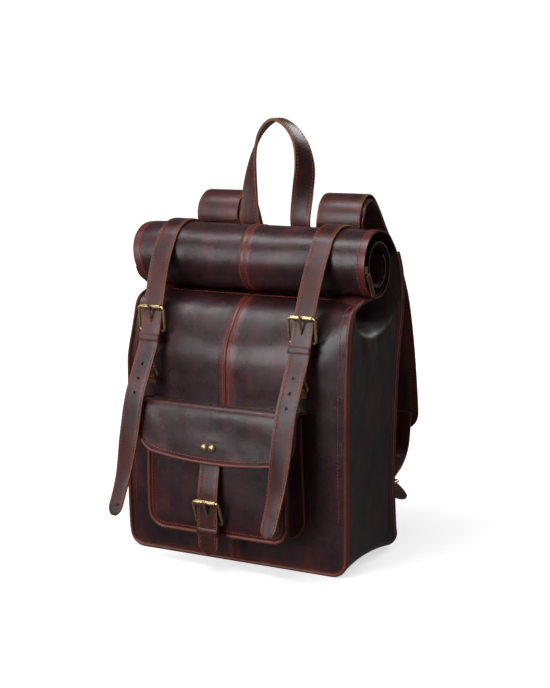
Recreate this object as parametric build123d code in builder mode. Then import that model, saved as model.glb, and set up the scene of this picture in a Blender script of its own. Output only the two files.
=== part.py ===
from build123d import *
import os
from math import atan2, cos, degrees, hypot, radians, sin

# Leather roll-top backpack, in millimetres. The front faces -Y and +X is the viewer's right.
# The origin is the centre of the base, on the surface that the bag stands on.

os.makedirs("parts", exist_ok=True)

# ---- Leather, in thickness ----
LEATHER = 2.4
STRAP_THICKNESS = 2.8
STRAP_WIDTH = 26
PIPING = 4
PIPING_DEPTH = 5
REACH = 400  # longer than the bag, for cuts right through it
SPARE = 10  # what a strap's outline has beyond its top end

# ---- The bag's body ----
HALF_WIDTH = 150
HALF_TOP_WIDTH = 156
OUTLINE_TOP = 420
CORNER_RADIUS = 20
FRONT_POINTS = [(-69, 0), (-89.5, 200), (-88.5, 262), (-56, 306), (-11, 320)]
FRONT_RADIUS = 14
BACK_POINTS = [(68.5, 0), (54, 95), (57, 225), (69.3, 290), (69.3, 320)]
BACK_RADIUS = 40
TOP_CENTRE = (-11, 320)
TOP_RADIUS = 80.3
BOARD_THICKNESS = 2
BOARD_HALF_LENGTH = 128
BOARD_HALF_DEPTH = 62
FOAM_POINTS = [(58.5, 20), (47.5, 95), (50.5, 225), (61, 280)]
FOAM_THICKNESS = 6
FOAM_HALF_WIDTH = 120

# ---- The rolled mouth: half turns whose ends meet above and below ROLL_Y ----
ROLL_Y = -11
ROLL_HALF_LENGTH = 158
ROLL_HEIGHTS = [400.3, 321.7, 388, 334, 376]
ROLL_LAST_TURN = 150
ROLL_OUTER_CENTRE = 361
ROLL_CLEARANCE = 40.6
ZIP_TAPE_RADIUS = 33
ZIP_TAPE_THICKNESS = 1.6
ZIP_TAPE_HALF_LENGTH = 150
ZIP_TAPE_START_ANGLE = 150
ZIP_TAPE_SWEEP = 60
SLIDER = (7, 7, 9)
SLIDER_CENTRE = (153.6, -43.2, 357)
SLIDER_ROUNDING = 1.5
PULL_SIZE = (2.2, 8, 24)
PULL_TOP = (159.4, -41, 351)
PULL_SHIFT = 6
PULL_LEAN = 120

# ---- The front pocket ----
POCKET_HALF_WIDTH = 95
POCKET_BOTTOM = 42
POCKET_TOP = 188
POCKET_RADIUS = 22
POCKET_POINTS = [(-113.5, 30), (-115.5, 100), (-112, 188)]
POCKET_BEND = 60
POCKET_RIM = 3
RIM_DEPTH = 4.4
WELT = 3
WELT_GAP = 0.1
POCKET_GAP = 0.3

# ---- The pocket's flap, which swings about its rear edge ----
FLAP_HINGE = (-96, 194)
FLAP_POINTS = [FLAP_HINGE, (-113, 197), (-118, 187), (-122, 150), (-122.5, 122)]
FLAP_RADIUS = 4
FLAP_HALF_WIDTH = 105
FLAP_CORNER_Z = 150
FLAP_LOW_Z = 130
FLAP_CORNER_RADIUS = 18
BINDING = 3.4
BINDING_DEPTH = 4.2
RIVET_X = (-11, -1)
RIVET_Z = 149
RIVET_HEAD = 4.5
RIVET_SHANK = 1.5
RIVET_HEAD_Y = (-123.35, -124.6)
RIVET_BACK_Y = -117.1

# ---- The buckles: a wire frame with a roller on top and a prong on the heel bar ----
WIRE = 1.8
FRAME_HALF_WIDTH = 17.2
FRAME_CORNER = 3.4
ROLLER_RADIUS = 3
ROLLER_LENGTH = 27
RUNNING = 0.06
ROLLER_OUT = 4.8
HEEL_DOWN = 27
HEEL_IN = 5
PRONG_RADIUS = 1.4
PRONG_RING = 3.2
PRONG_HALF_WIDTH = 2
PRONG_LENGTH = 33.5
PRONG_GAP = 4.9
PRONG_SLOT = (3.6, 15)
PRONG_SLOT_DOWN = 19.3
KEEPER_DOWN = 31.5
KEEPER_HEIGHT = 9
KEEPER_OUTER = (30.6, 6.2)
KEEPER_INNER = (26.3, 3.2)
CHAPE_THICKNESS = 3.2
CHAPE_HALF_WIDTH = 11
CHAPE_LOOP = 3.4
CHAPE_SLOT_HALF = 3
HOLE_RADIUS = 2
HOLE_PITCH = 16.5
HOLE_COUNT = 3

# ---- The two closing straps ----
STRAP_X = 101
STRAP_TOP_RADIUS = 83.3
STRAP_ROLL_RADIUS = 42.3
STRAP_HINGE_ANGLE = 71.8
STRAP_ANCHOR_END_ANGLE = 60.5
STRAP_HINGE_GAP_ANGLE = 2.3
STRAP_WRAP = 62
STRAP_AT_ROLLER = (-89.2, 304)
TAIL_HINGE = (-101, 258)
TAIL_GAP = 3.3
TAIL_POINTS = [TAIL_HINGE, (-121.5, 200), (-127.5, 150), (-131, 110), (-147, 59)]
TAIL_RADIUS = 40
TAIL_LEAN = -17
TAIL_TIP_Z = 59
TAIL_HOLE_TOP = 238

# ---- The snap hooks under the closing straps, and the rings that they hook on ----
EYE_BAR = (-97, 254)
EYE_WIRE = 1.4
EYE_LOOP = 3
EYE_HALF_WIDTH = 8
EYE_NECK_HALF = 5.6
EYE_DROP = 8
EYE_CORNER = 2
EYE_TONGUE_HALF = 5.5
EYE_TONGUE_LENGTH = 6
BOSS_RADIUS = 3.4
BOSS_HEIGHT = 5.6
BOSS_DROP = 0.6
STEM_RADIUS = 1.5
HOOK_YAW = 45
CLAW_DROP = 19.5
CLAW_RADIUS = 5.2
CLAW_WIRE = 1.3
CLAW_END_ANGLE = 176
GATE_TOP = (-3.0, 5.6)
GATE_TIP = (-5.1, 1.9)
GATE_WIRE = 1.0
GATE_LEVER = (-7.6, 5.4)
RING_BAR = (-94.2, 221.2)
RING_TOP = (-97, 232.2)
RING_HALF_BASE = 9
RING_HALF_TOP = 6.5
RING_WIRE = 1.2
RING_CORNER = 3
TAB_HALF_WIDTH = 5.5
TAB_LOOP = 2.8
TAB_LOW_Z = 218.4
TAB_HIGH_Z = 226
TAB_BACK_Y = -90.9

# ---- The pocket's own strap, which hangs from the flap ----
POCKET_STRAP_X = -5
POCKET_STRAP_POINTS = [(-118, 160), (-118.7, 140), (-119, 126), (-126.3, 98), (-126.3, 42), (-124.5, 22)]
POCKET_STRAP_RADIUS = 20
POCKET_STRAP_THICKNESS = 2.4
POCKET_STRAP_TIP_Z = 22
POCKET_STRAP_AT_ROLLER = (-126.3, 86)
POCKET_CHAPE_LOW = (-121.4, 46)
MAGNET_Z = 50
MAGNET_RADIUS = 5
STUD_BACK_Y = -118.4
STUD_FRONT_Y = -119.7
SOCKET_BACK_Y = -114.2
SOCKET_FRONT_Y = -117.6
SOCKET_SHOWN_Y = -115.4

# ---- The carrying handle ----
HANDLE_Y = 31
HANDLE_HINGE_Z = 393.5
HANDLE_LEG_X = 34
HANDLE_WIDTH = 26
HANDLE_THICKNESS = 4
HANDLE_LEG_TOP = 444
HANDLE_POINTS = [(-34, 440), (-32, 474), (-15, 520), (16, 524.5), (41, 476), (34, 440)]
HANDLE_RADIUS = 14
SEWN_LOW_ANGLE = 32
SEWN_HIGH_ANGLE = 57

# ---- The shoulder straps ----
SHOULDER_POINTS = [
    (37, 401), (39, 409), (54, 427.5), (74, 427), (98, 391), (137, 335), (152, 285), (156, 210), (151, 128),
]
SHOULDER_RADIUS = 12
SHOULDER_THICKNESS = 11
SHOULDER_WIDTH = 62
SHOULDER_TOP_X = 82
SHOULDER_LOW_X = 112
SHOULDER_TOP_Z = 440
SHOULDER_TIP_Z = 120
SHOULDER_SEWN_THICKNESS = 5
LOWER_BAR = (97, 78.6)
LOWER_FOLD = 3.5
LOWER_STRAP_POINTS = [(145.2, 152), (143.9, 128), (134, 98), (97, 82.1)]
LOWER_TAIL_POINTS = [(97, 75.1), (120, 64), (145, 42)]
LOWER_STRAP_RADIUS = 14
LOWER_STRAP_WIDTH = 25
LOWER_STRAP_THICKNESS = 3
LOWER_STRAP_X = 121
LOWER_BUCKLE_HALF = (18, 8.2)
LOWER_TAB_POINTS = [(62.5, 114), (62.5, 98), (75, 84)]
LOWER_TAB_RADIUS = 8
LOWER_TAB_WIDTH = 28


def shifted(points, dy):
    """A side-view line moved along Y."""
    return [(y + dy, z) for y, z in points]


def sheet(draw_line, thickness, x_low, x_high, mode=Mode.ADD):
    """A sheet that follows a line in the side view, from x_low to x_high."""
    with BuildSketch(Plane.YZ.offset(x_low)) as section:
        with BuildLine():
            draw_line()
            offset(amount=thickness / 2, side=Side.BOTH)
        make_face()
    extrude(section.sketch, amount=x_high - x_low, mode=mode)


def rod(y, z, radius, x_low, x_high, mode=Mode.ADD):
    """A round bar along X."""
    with BuildSketch(Plane.YZ.offset(x_low)) as section:
        with Locations((y, z)):
            Circle(radius)
    extrude(section.sketch, amount=x_high - x_low, mode=mode)


def side_shape(points, x_low, x_high, mode=Mode.ADD):
    """A prism along X over a polygon in the side view."""
    with BuildSketch(Plane.YZ.offset(x_low)) as section:
        with BuildLine():
            Polyline(*points, close=True)
        make_face()
    extrude(section.sketch, amount=x_high - x_low, mode=mode)


def wire_loop(plane, points, corner, radius):
    """A closed wire with rounded corners."""
    with BuildLine(plane) as loop:
        FilletPolyline(*points, radius=corner, close=True)
    with BuildSketch(Plane(origin=loop.line @ 0, z_dir=loop.line % 0)) as section:
        Circle(radius)
    sweep(section.sketch, path=loop.line)


def front_outline(half_low, half_high, low, high, corner, inset):
    """A front-view outline, wider or narrower at the top, with rounded bottom corners."""
    with BuildSketch(Plane.XZ) as outline:
        with BuildLine():
            Polyline((-half_high, high), (-half_low, low), (half_low, low), (half_high, high), close=True)
        make_face()
        fillet(outline.vertices().group_by(Axis.Y)[0], corner)
        if inset:
            offset(amount=-inset)
    return outline.sketch


def bag_outline(inset=0):
    return front_outline(HALF_WIDTH, HALF_TOP_WIDTH, 0, OUTLINE_TOP, CORNER_RADIUS, inset)


def pocket_outline(inset=0):
    top = POCKET_TOP + 2 * POCKET_RADIUS
    return front_outline(
        POCKET_HALF_WIDTH, POCKET_HALF_WIDTH, POCKET_BOTTOM, top, POCKET_RADIUS, inset
    )


def flap_outline(inset=0):
    """The flap from the front: straight sides and a shallow bow along the lower edge."""
    top = FLAP_HINGE[1] + 2 * FLAP_CORNER_RADIUS
    left = (-FLAP_HALF_WIDTH, FLAP_CORNER_Z)
    right = (FLAP_HALF_WIDTH, FLAP_CORNER_Z)
    with BuildSketch(Plane.XZ) as outline:
        with BuildLine():
            Polyline(left, (-FLAP_HALF_WIDTH, top), (FLAP_HALF_WIDTH, top), right)
            ThreePointArc(left, (0, FLAP_LOW_Z), right)
        make_face()
        fillet(outline.vertices().group_by(Axis.Y)[0], FLAP_CORNER_RADIUS)
        if inset:
            offset(amount=-inset)
    return outline.sketch


def keep_inside(outline):
    extrude(outline, amount=REACH, both=True, mode=Mode.INTERSECT)


def cut_inside(outline):
    extrude(outline, amount=REACH, both=True, mode=Mode.SUBTRACT)


def clear_of_roll():
    rod(ROLL_Y, ROLL_OUTER_CENTRE, ROLL_CLEARANCE, -REACH, REACH, mode=Mode.SUBTRACT)


def leaning_strip(x_high, z_high, x_low, z_low, width):
    """The front view of a strap that leans sideways and ends in a round tip at the bottom."""
    lean = degrees(atan2(x_high - x_low, z_high - z_low))
    length = hypot(x_high - x_low, z_high - z_low) - width / 2
    tip_x = x_low + width / 2 * sin(radians(lean))
    tip_z = z_low + width / 2 * cos(radians(lean))
    with BuildSketch(Plane.XZ) as strip:
        with Locations(((x_high + tip_x) / 2, (z_high + tip_z) / 2)):
            Rectangle(width, length, rotation=-lean)
        with Locations((tip_x, tip_z)):
            Circle(width / 2)
    return strip.sketch


def front_line():
    FilletPolyline(*FRONT_POINTS, radius=FRONT_RADIUS)


def back_line():
    FilletPolyline(*BACK_POINTS, radius=BACK_RADIUS)
    CenterArc(TOP_CENTRE, TOP_RADIUS, 0, 90)


def pocket_line():
    FilletPolyline(*POCKET_POINTS, radius=POCKET_BEND)


def flap_line():
    FilletPolyline(*FLAP_POINTS, radius=FLAP_RADIUS)


def finish(part, name):
    part.label = name
    export_step(part, f"parts/{name}.step")


# ---- Front and back ----
for side, name in ((-1, "front_panel_left"), (1, "front_panel_right")):
    with BuildPart() as front_panel:
        sheet(front_line, LEATHER, min(0, side * REACH), max(0, side * REACH))
        keep_inside(bag_outline(PIPING))
        clear_of_roll()
    finish(front_panel.part, name)

with BuildPart() as back_panel:
    sheet(back_line, LEATHER, -REACH, REACH)
    keep_inside(bag_outline(PIPING))
    behind_the_roll = [(ROLL_Y, 0), (REACH, 0), (REACH, OUTLINE_TOP), (ROLL_Y, OUTLINE_TOP)]
    side_shape(behind_the_roll, -REACH, REACH, Mode.INTERSECT)
finish(back_panel.part, "back_panel")

with BuildPart() as body_piping:
    sheet(front_line, PIPING_DEPTH, -REACH, REACH)
    sheet(back_line, PIPING_DEPTH, -REACH, REACH)
    keep_inside(bag_outline())
    cut_inside(bag_outline(PIPING))
    clear_of_roll()
finish(body_piping.part, "body_piping")


# ---- The gusset round the sides and base, between the two rows of piping ----
def gusset_strip(x_low, x_high):
    with BuildSketch(Plane.YZ.offset(x_low)) as region:
        with BuildLine():
            front_line()
            Line(FRONT_POINTS[-1], (ROLL_Y, TOP_CENTRE[1] + TOP_RADIUS))
            back_line()
            Line(BACK_POINTS[0], FRONT_POINTS[0])
        make_face()
    extrude(region.sketch, amount=x_high - x_low)
    sheet(front_line, PIPING_DEPTH, -REACH, REACH, Mode.SUBTRACT)
    sheet(back_line, PIPING_DEPTH, -REACH, REACH, Mode.SUBTRACT)
    keep_inside(bag_outline())
    cut_inside(bag_outline(LEATHER))
    clear_of_roll()


SIDE_STARTS = HALF_WIDTH - CORNER_RADIUS
with BuildPart() as base_panel:
    gusset_strip(-SIDE_STARTS, SIDE_STARTS)
    Box(2 * REACH, 2 * REACH, CORNER_RADIUS, mode=Mode.INTERSECT)
finish(base_panel.part, "base_panel")

with BuildPart() as side_gussets:
    gusset_strip(-HALF_TOP_WIDTH, HALF_TOP_WIDTH)
    with BuildSketch(Plane.XZ):
        Rectangle(2 * SIDE_STARTS, 2 * REACH)
    extrude(amount=REACH, both=True, mode=Mode.SUBTRACT)
finish(side_gussets.part, "side_gussets")

with BuildPart() as base_board:
    with BuildSketch(Plane.XY.offset(LEATHER)):
        RectangleRounded(2 * BOARD_HALF_LENGTH, 2 * BOARD_HALF_DEPTH, CORNER_RADIUS / 2)
    extrude(amount=BOARD_THICKNESS)
finish(base_board.part, "base_board")

with BuildPart() as back_foam_pad:
    sheet(
        lambda: FilletPolyline(*FOAM_POINTS, radius=BACK_RADIUS),
        FOAM_THICKNESS, -FOAM_HALF_WIDTH, FOAM_HALF_WIDTH,
    )
finish(back_foam_pad.part, "back_foam_pad")


# ---- The rolled mouth, its zip and the zip's pull ----
def roll_line():
    """Half turns: down the front, up the back, and inwards."""
    ends = zip(ROLL_HEIGHTS, ROLL_HEIGHTS[1:])
    for turn, (start, end) in enumerate(ends):
        middle = (start + end) / 2
        radius = abs(start - end) / 2
        sweep_angle = 180 if turn < len(ROLL_HEIGHTS) - 2 else ROLL_LAST_TURN
        CenterArc((ROLL_Y, middle), radius, 90 if turn % 2 == 0 else 270, sweep_angle)


with BuildPart() as roll_top:
    sheet(roll_line, LEATHER, -ROLL_HALF_LENGTH, ROLL_HALF_LENGTH)
    with BuildSketch(Plane.YZ.offset(-ROLL_HALF_LENGTH)) as behind_the_seam:
        with Locations((ROLL_Y, ROLL_HEIGHTS[0])):
            Rectangle(LEATHER, 2 * LEATHER, align=(Align.MIN, Align.CENTER))
    extrude(behind_the_seam.sketch, amount=2 * ROLL_HALF_LENGTH, mode=Mode.SUBTRACT)
finish(roll_top.part, "roll_top")

with BuildPart() as mouth_zip_tape:
    sheet(
        lambda: CenterArc(
            (ROLL_Y, ROLL_OUTER_CENTRE), ZIP_TAPE_RADIUS, ZIP_TAPE_START_ANGLE, ZIP_TAPE_SWEEP
        ),
        ZIP_TAPE_THICKNESS, -ZIP_TAPE_HALF_LENGTH, ZIP_TAPE_HALF_LENGTH,
    )
finish(mouth_zip_tape.part, "mouth_zip_tape")

with BuildPart() as zip_slider:
    with Locations(SLIDER_CENTRE):
        Box(*SLIDER)
    fillet(zip_slider.edges().filter_by(Axis.X), SLIDER_ROUNDING)
finish(zip_slider.part, "zip_slider")

with BuildPart() as zip_pull:
    with BuildSketch(Plane.YZ.offset(PULL_TOP[0] - PULL_SIZE[0] / 2)):
        with Locations((PULL_TOP[1] + PULL_SHIFT, PULL_TOP[2] - PULL_SIZE[2] / 2)):
            SlotOverall(PULL_SIZE[2] + PULL_SIZE[1], PULL_SIZE[1], rotation=PULL_LEAN)
    extrude(amount=PULL_SIZE[0])
finish(zip_pull.part, "zip_pull")

# ---- The front pocket ----
with BuildPart() as pocket_front_panel:
    sheet(pocket_line, LEATHER, -REACH, REACH)
    keep_inside(pocket_outline(POCKET_RIM))
finish(pocket_front_panel.part, "pocket_front_panel")

with BuildPart() as pocket_gusset:
    (low_y, low_z), (high_y, high_z) = shifted(FRONT_POINTS[:2], -LEATHER / 2 - WELT - POCKET_GAP)
    mouth_y = low_y + (high_y - low_y) * (POCKET_TOP - low_z) / (high_z - low_z)
    front = shifted(POCKET_POINTS, RIM_DEPTH / 2 + WELT_GAP)
    side_shape([(low_y, low_z), (mouth_y, POCKET_TOP)] + front[::-1], -REACH, REACH)
    keep_inside(pocket_outline())
    cut_inside(pocket_outline(LEATHER))
finish(pocket_gusset.part, "pocket_gusset")

with BuildPart() as pocket_piping:
    sheet(pocket_line, RIM_DEPTH, -REACH, REACH)
    sheet(
        lambda: FilletPolyline(
            *shifted(FRONT_POINTS, -(LEATHER + WELT) / 2 - WELT_GAP), radius=FRONT_RADIUS
        ),
        WELT, -REACH, REACH,
    )
    keep_inside(pocket_outline())
    cut_inside(pocket_outline(POCKET_RIM))
    with BuildSketch(Plane.XY.offset(POCKET_TOP)) as above_the_mouth:
        Rectangle(2 * REACH, 2 * REACH)
    extrude(above_the_mouth.sketch, amount=REACH, mode=Mode.SUBTRACT)
finish(pocket_piping.part, "pocket_piping")


def disc(radius, y_back, y_front, x, z):
    """A round disc that faces the front."""
    with BuildSketch(Plane.XZ.offset(-y_back)) as face:
        with Locations((x, z)):
            Circle(radius)
    extrude(face.sketch, amount=y_back - y_front)


with BuildPart() as magnet_socket:
    disc(MAGNET_RADIUS, SOCKET_BACK_Y, SOCKET_FRONT_Y, POCKET_STRAP_X, MAGNET_Z)
    sheet(pocket_line, LEATHER, -REACH, REACH, Mode.SUBTRACT)
    outside = [(-REACH, 0), (SOCKET_SHOWN_Y, 0), (SOCKET_SHOWN_Y, REACH), (-REACH, REACH)]
    side_shape(outside, -REACH, REACH, Mode.INTERSECT)
finish(magnet_socket.part, "magnet_socket")


# ---- The pocket's flap ----
def rivet_holes():
    with BuildSketch(Plane.XZ) as holes:
        with Locations(*[(x, RIVET_Z) for x in RIVET_X]):
            Circle(RIVET_SHANK)
    extrude(holes.sketch, amount=REACH, mode=Mode.SUBTRACT)


with BuildPart() as pocket_flap:
    sheet(flap_line, LEATHER, -REACH, REACH)
    keep_inside(flap_outline(BINDING))
    rivet_holes()
finish(pocket_flap.part, "pocket_flap")

with BuildPart() as pocket_flap_binding:
    sheet(flap_line, BINDING_DEPTH, -REACH, REACH)
    keep_inside(flap_outline())
    cut_inside(flap_outline(BINDING))
finish(pocket_flap_binding.part, "pocket_flap_binding")

with BuildPart() as pocket_rivets:
    for x in RIVET_X:
        disc(RIVET_HEAD, *RIVET_HEAD_Y, x, RIVET_Z)
        disc(RIVET_SHANK, RIVET_BACK_Y, RIVET_HEAD_Y[0], x, RIVET_Z)
finish(pocket_rivets.part, "pocket_rivets")


# ---- Buckles ----
class StrapPlace:
    """Where a strap passes its buckle, with its directions down and out of the bag."""

    def __init__(self, at_roller, below):
        self.at = Vector(0, *at_roller)
        self.down = (Vector(0, *below) - self.at).normalized()
        self.out = self.down.cross(Vector(1, 0, 0))
        self.roller = self.at + self.out * ROLLER_OUT
        self.heel = self.at + self.down * HEEL_DOWN - self.out * HEEL_IN

    def across(self, distance_down, x):
        """A plane square to the strap, with local Y out of the bag."""
        middle = self.at + self.down * distance_down + Vector(x, 0, 0)
        return Plane(origin=middle, x_dir=(1, 0, 0), z_dir=self.down)


CLOSING = StrapPlace(STRAP_AT_ROLLER, TAIL_HINGE)
POCKET = StrapPlace(POCKET_STRAP_AT_ROLLER, (POCKET_STRAP_AT_ROLLER[0], 0))


def buckle_frame(place, x):
    rise = place.roller - place.heel
    middle = (place.roller + place.heel) * 0.5 + Vector(x, 0, 0)
    half = rise.length / 2
    normal = Vector(1, 0, 0).cross(rise)
    wide = FRAME_HALF_WIDTH
    corners = [(wide, half), (wide, -half), (-wide, -half), (-wide, half)]
    wire_loop(Plane(origin=middle, x_dir=(1, 0, 0), z_dir=normal), corners, FRAME_CORNER, WIRE)


def buckle_roller(place, x):
    half = ROLLER_LENGTH / 2
    rod(place.roller.Y, place.roller.Z, ROLLER_RADIUS, x - half, x + half)
    rod(place.roller.Y, place.roller.Z, WIRE + RUNNING, x - half, x + half, Mode.SUBTRACT)


def buckle_prong(place, x):
    """A pin on a ring round the heel bar, whose tip rests just over the roller."""
    rise = place.roller - place.heel
    lift = degrees(atan2(PRONG_GAP, rise.length))
    along = rise.normalized().rotate(Axis.X, lift)
    start = place.heel + Vector(x, 0, 0)
    rod(start.Y, start.Z, PRONG_RING, x - PRONG_HALF_WIDTH, x + PRONG_HALF_WIDTH)
    with BuildSketch(Plane(origin=start, x_dir=(1, 0, 0), z_dir=along)) as section:
        Circle(PRONG_RADIUS)
    extrude(section.sketch, amount=PRONG_LENGTH)
    rod(start.Y, start.Z, WIRE + RUNNING, x - REACH, x + REACH, Mode.SUBTRACT)


def prong_slot(place, x):
    centre = place.at + place.down * PRONG_SLOT_DOWN + Vector(x, 0, 0)
    with BuildSketch(Plane(origin=centre, x_dir=(1, 0, 0), z_dir=place.out)) as slot:
        SlotOverall(PRONG_SLOT[1], PRONG_SLOT[0], rotation=90)
    extrude(slot.sketch, amount=STRAP_THICKNESS, both=True, mode=Mode.SUBTRACT)


def keeper(place, x):
    with BuildSketch(place.across(KEEPER_DOWN, x)) as loop:
        Rectangle(*KEEPER_OUTER)
        Rectangle(*KEEPER_INNER, mode=Mode.SUBTRACT)
    extrude(loop.sketch, amount=KEEPER_HEIGHT)


def chape(place, x, low):
    """The leather folded round the heel bar, down to a point behind the strap."""
    heel = (place.heel.Y, place.heel.Z)
    sheet(lambda: Line(heel, low), CHAPE_THICKNESS, x - CHAPE_HALF_WIDTH, x + CHAPE_HALF_WIDTH)
    rod(*heel, CHAPE_LOOP, x - CHAPE_HALF_WIDTH, x + CHAPE_HALF_WIDTH)


def chape_cuts(place, x):
    heel = (place.heel.Y, place.heel.Z)
    rod(*heel, PRONG_RING + 1, x - CHAPE_SLOT_HALF, x + CHAPE_SLOT_HALF, Mode.SUBTRACT)
    rod(*heel, WIRE, x - REACH, x + REACH, Mode.SUBTRACT)


def strap_holes(x_high, z_high, lean):
    with BuildSketch(Plane.XZ) as holes:
        for step in range(HOLE_COUNT):
            with Locations((x_high + lean * step * HOLE_PITCH, z_high - step * HOLE_PITCH)):
                Circle(HOLE_RADIUS)
    extrude(holes.sketch, amount=REACH, mode=Mode.SUBTRACT)


# ---- The closing straps, each with its buckle, tail, snap hook and ring ----
def strap_line():
    CenterArc(TOP_CENTRE, STRAP_TOP_RADIUS, STRAP_HINGE_ANGLE, 90 - STRAP_HINGE_ANGLE)
    over = CenterArc((ROLL_Y, ROLL_OUTER_CENTRE), STRAP_ROLL_RADIUS, 90, STRAP_WRAP)
    end = CLOSING.at + CLOSING.down * ((Vector(0, *TAIL_HINGE) - CLOSING.at).length - TAIL_GAP)
    FilletPolyline(over @ 1, STRAP_AT_ROLLER, (end.Y, end.Z), radius=TAIL_RADIUS)


def hook_plane(x):
    """The claw's own plane, turned towards the side, with its origin at the claw's centre."""
    yaw = radians(HOOK_YAW)
    centre = (x, EYE_BAR[0], EYE_BAR[1] - CLAW_DROP)
    return Plane(origin=centre, x_dir=(cos(yaw), sin(yaw), 0), z_dir=(sin(yaw), -cos(yaw), 0))


def bar(plane, start, end, radius):
    """A round bar between two points of a plane."""
    first = plane.from_local_coords(Vector(*start))
    last = plane.from_local_coords(Vector(*end))
    with BuildSketch(Plane(origin=first, z_dir=last - first)) as section:
        Circle(radius)
    extrude(section.sketch, amount=(last - first).length)
    for end_point in (first, last):
        with Locations(end_point):
            Sphere(radius)


with BuildPart() as closing_strap_anchors:
    for x in (-STRAP_X, STRAP_X):
        sheet(
            lambda: CenterArc(
                TOP_CENTRE, STRAP_TOP_RADIUS, STRAP_ANCHOR_END_ANGLE,
                STRAP_HINGE_ANGLE - STRAP_HINGE_GAP_ANGLE - STRAP_ANCHOR_END_ANGLE,
            ),
            STRAP_THICKNESS, x - STRAP_WIDTH / 2, x + STRAP_WIDTH / 2,
        )
finish(closing_strap_anchors.part, "closing_strap_anchors")

with BuildPart() as d_ring_tabs:
    for x in (-STRAP_X, STRAP_X):
        side_shape(
            [(TAB_BACK_Y, TAB_LOW_Z), (TAB_BACK_Y, TAB_HIGH_Z), RING_BAR],
            x - TAB_HALF_WIDTH, x + TAB_HALF_WIDTH,
        )
        rod(*RING_BAR, TAB_LOOP, x - TAB_HALF_WIDTH, x + TAB_HALF_WIDTH)
    rod(*RING_BAR, RING_WIRE + RUNNING, -REACH, REACH, Mode.SUBTRACT)
finish(d_ring_tabs.part, "d_ring_tabs")

for side, suffix in ((-1, "left"), (1, "right")):
    x = side * STRAP_X
    half = STRAP_WIDTH / 2

    with BuildPart() as closing_strap:
        sheet(strap_line, STRAP_THICKNESS, x - half, x + half)
        prong_slot(CLOSING, x)
    finish(closing_strap.part, f"closing_strap_{suffix}")

    with BuildPart() as frame:
        buckle_frame(CLOSING, x)
    finish(frame.part, f"buckle_frame_{suffix}")

    with BuildPart() as roller:
        buckle_roller(CLOSING, x)
    finish(roller.part, f"buckle_roller_{suffix}")

    with BuildPart() as prong:
        buckle_prong(CLOSING, x)
    finish(prong.part, f"buckle_prong_{suffix}")

    with BuildPart() as strap_keeper:
        keeper(CLOSING, x)
    finish(strap_keeper.part, f"strap_keeper_{suffix}")

    with BuildPart() as strap_chape:
        heel = CLOSING.heel
        fall = Vector(0, *EYE_BAR) - heel
        wide_end = heel + fall * (1 - EYE_TONGUE_LENGTH / fall.length)
        chape(CLOSING, x, (wide_end.Y, wide_end.Z))
        sheet(
            lambda: Line((wide_end.Y, wide_end.Z), EYE_BAR),
            CHAPE_THICKNESS, x - EYE_TONGUE_HALF, x + EYE_TONGUE_HALF,
        )
        rod(*EYE_BAR, EYE_LOOP, x - EYE_TONGUE_HALF, x + EYE_TONGUE_HALF)
        rod(*EYE_BAR, EYE_WIRE, x - REACH, x + REACH, Mode.SUBTRACT)
        chape_cuts(CLOSING, x)
    finish(strap_chape.part, f"strap_chape_{suffix}")

    with BuildPart() as hook_eye:
        loop = [
            (-EYE_HALF_WIDTH, 0), (EYE_HALF_WIDTH, 0),
            (EYE_NECK_HALF, -EYE_DROP), (-EYE_NECK_HALF, -EYE_DROP),
        ]
        eye_plane = Plane(origin=(x, *EYE_BAR), x_dir=(1, 0, 0), z_dir=(0, -1, 0))
        wire_loop(eye_plane, loop, EYE_CORNER, EYE_WIRE)
        with Locations((x, EYE_BAR[0], EYE_BAR[1] - EYE_DROP - BOSS_DROP)):
            Cylinder(BOSS_RADIUS, BOSS_HEIGHT)
            Cylinder(STEM_RADIUS + RUNNING, 2 * BOSS_HEIGHT, mode=Mode.SUBTRACT)
    finish(hook_eye.part, f"hook_eye_{suffix}")

    with BuildPart() as snap_hook:
        claw = hook_plane(x)
        with BuildLine(claw) as ring:
            CenterArc((0, 0), CLAW_RADIUS, 90, CLAW_END_ANGLE - 360 - 90)
        with BuildSketch(Plane(origin=ring.line @ 0, z_dir=ring.line % 0)) as section:
            Circle(CLAW_WIRE)
        sweep(section.sketch, path=ring.line)
        bar(claw, (0, CLAW_RADIUS), (0, CLAW_DROP - EYE_DROP), STEM_RADIUS)
    finish(snap_hook.part, f"snap_hook_{suffix}")

    with BuildPart() as hook_gate:
        bar(claw, GATE_TOP, GATE_TIP, GATE_WIRE)
        bar(claw, GATE_TOP, GATE_LEVER, GATE_WIRE)
    finish(hook_gate.part, f"hook_gate_{suffix}")

    with BuildPart() as d_ring:
        lean = Vector(0, *RING_TOP) - Vector(0, *RING_BAR)
        ring_plane = Plane(origin=(x, *RING_BAR), x_dir=(1, 0, 0), z_dir=Vector(1, 0, 0).cross(lean))
        corners = [
            (-RING_HALF_BASE, 0), (RING_HALF_BASE, 0),
            (RING_HALF_TOP, lean.length), (-RING_HALF_TOP, lean.length),
        ]
        wire_loop(ring_plane, corners, RING_CORNER, RING_WIRE)
    finish(d_ring.part, f"d_ring_{suffix}")

    with BuildPart() as tail:
        sheet(
            lambda: FilletPolyline(*TAIL_POINTS, radius=TAIL_RADIUS),
            STRAP_THICKNESS, x - STRAP_WIDTH * 2, x + STRAP_WIDTH * 2,
        )
        keep_inside(leaning_strip(x, TAIL_HINGE[1] + SPARE, x + TAIL_LEAN, TAIL_TIP_Z, STRAP_WIDTH))
        slope = TAIL_LEAN / (TAIL_HINGE[1] - TAIL_TIP_Z)
        hole_x = x + slope * (TAIL_HINGE[1] - TAIL_HOLE_TOP)
        strap_holes(hole_x, TAIL_HOLE_TOP, slope)
    finish(tail.part, f"strap_tail_{suffix}")

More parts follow.
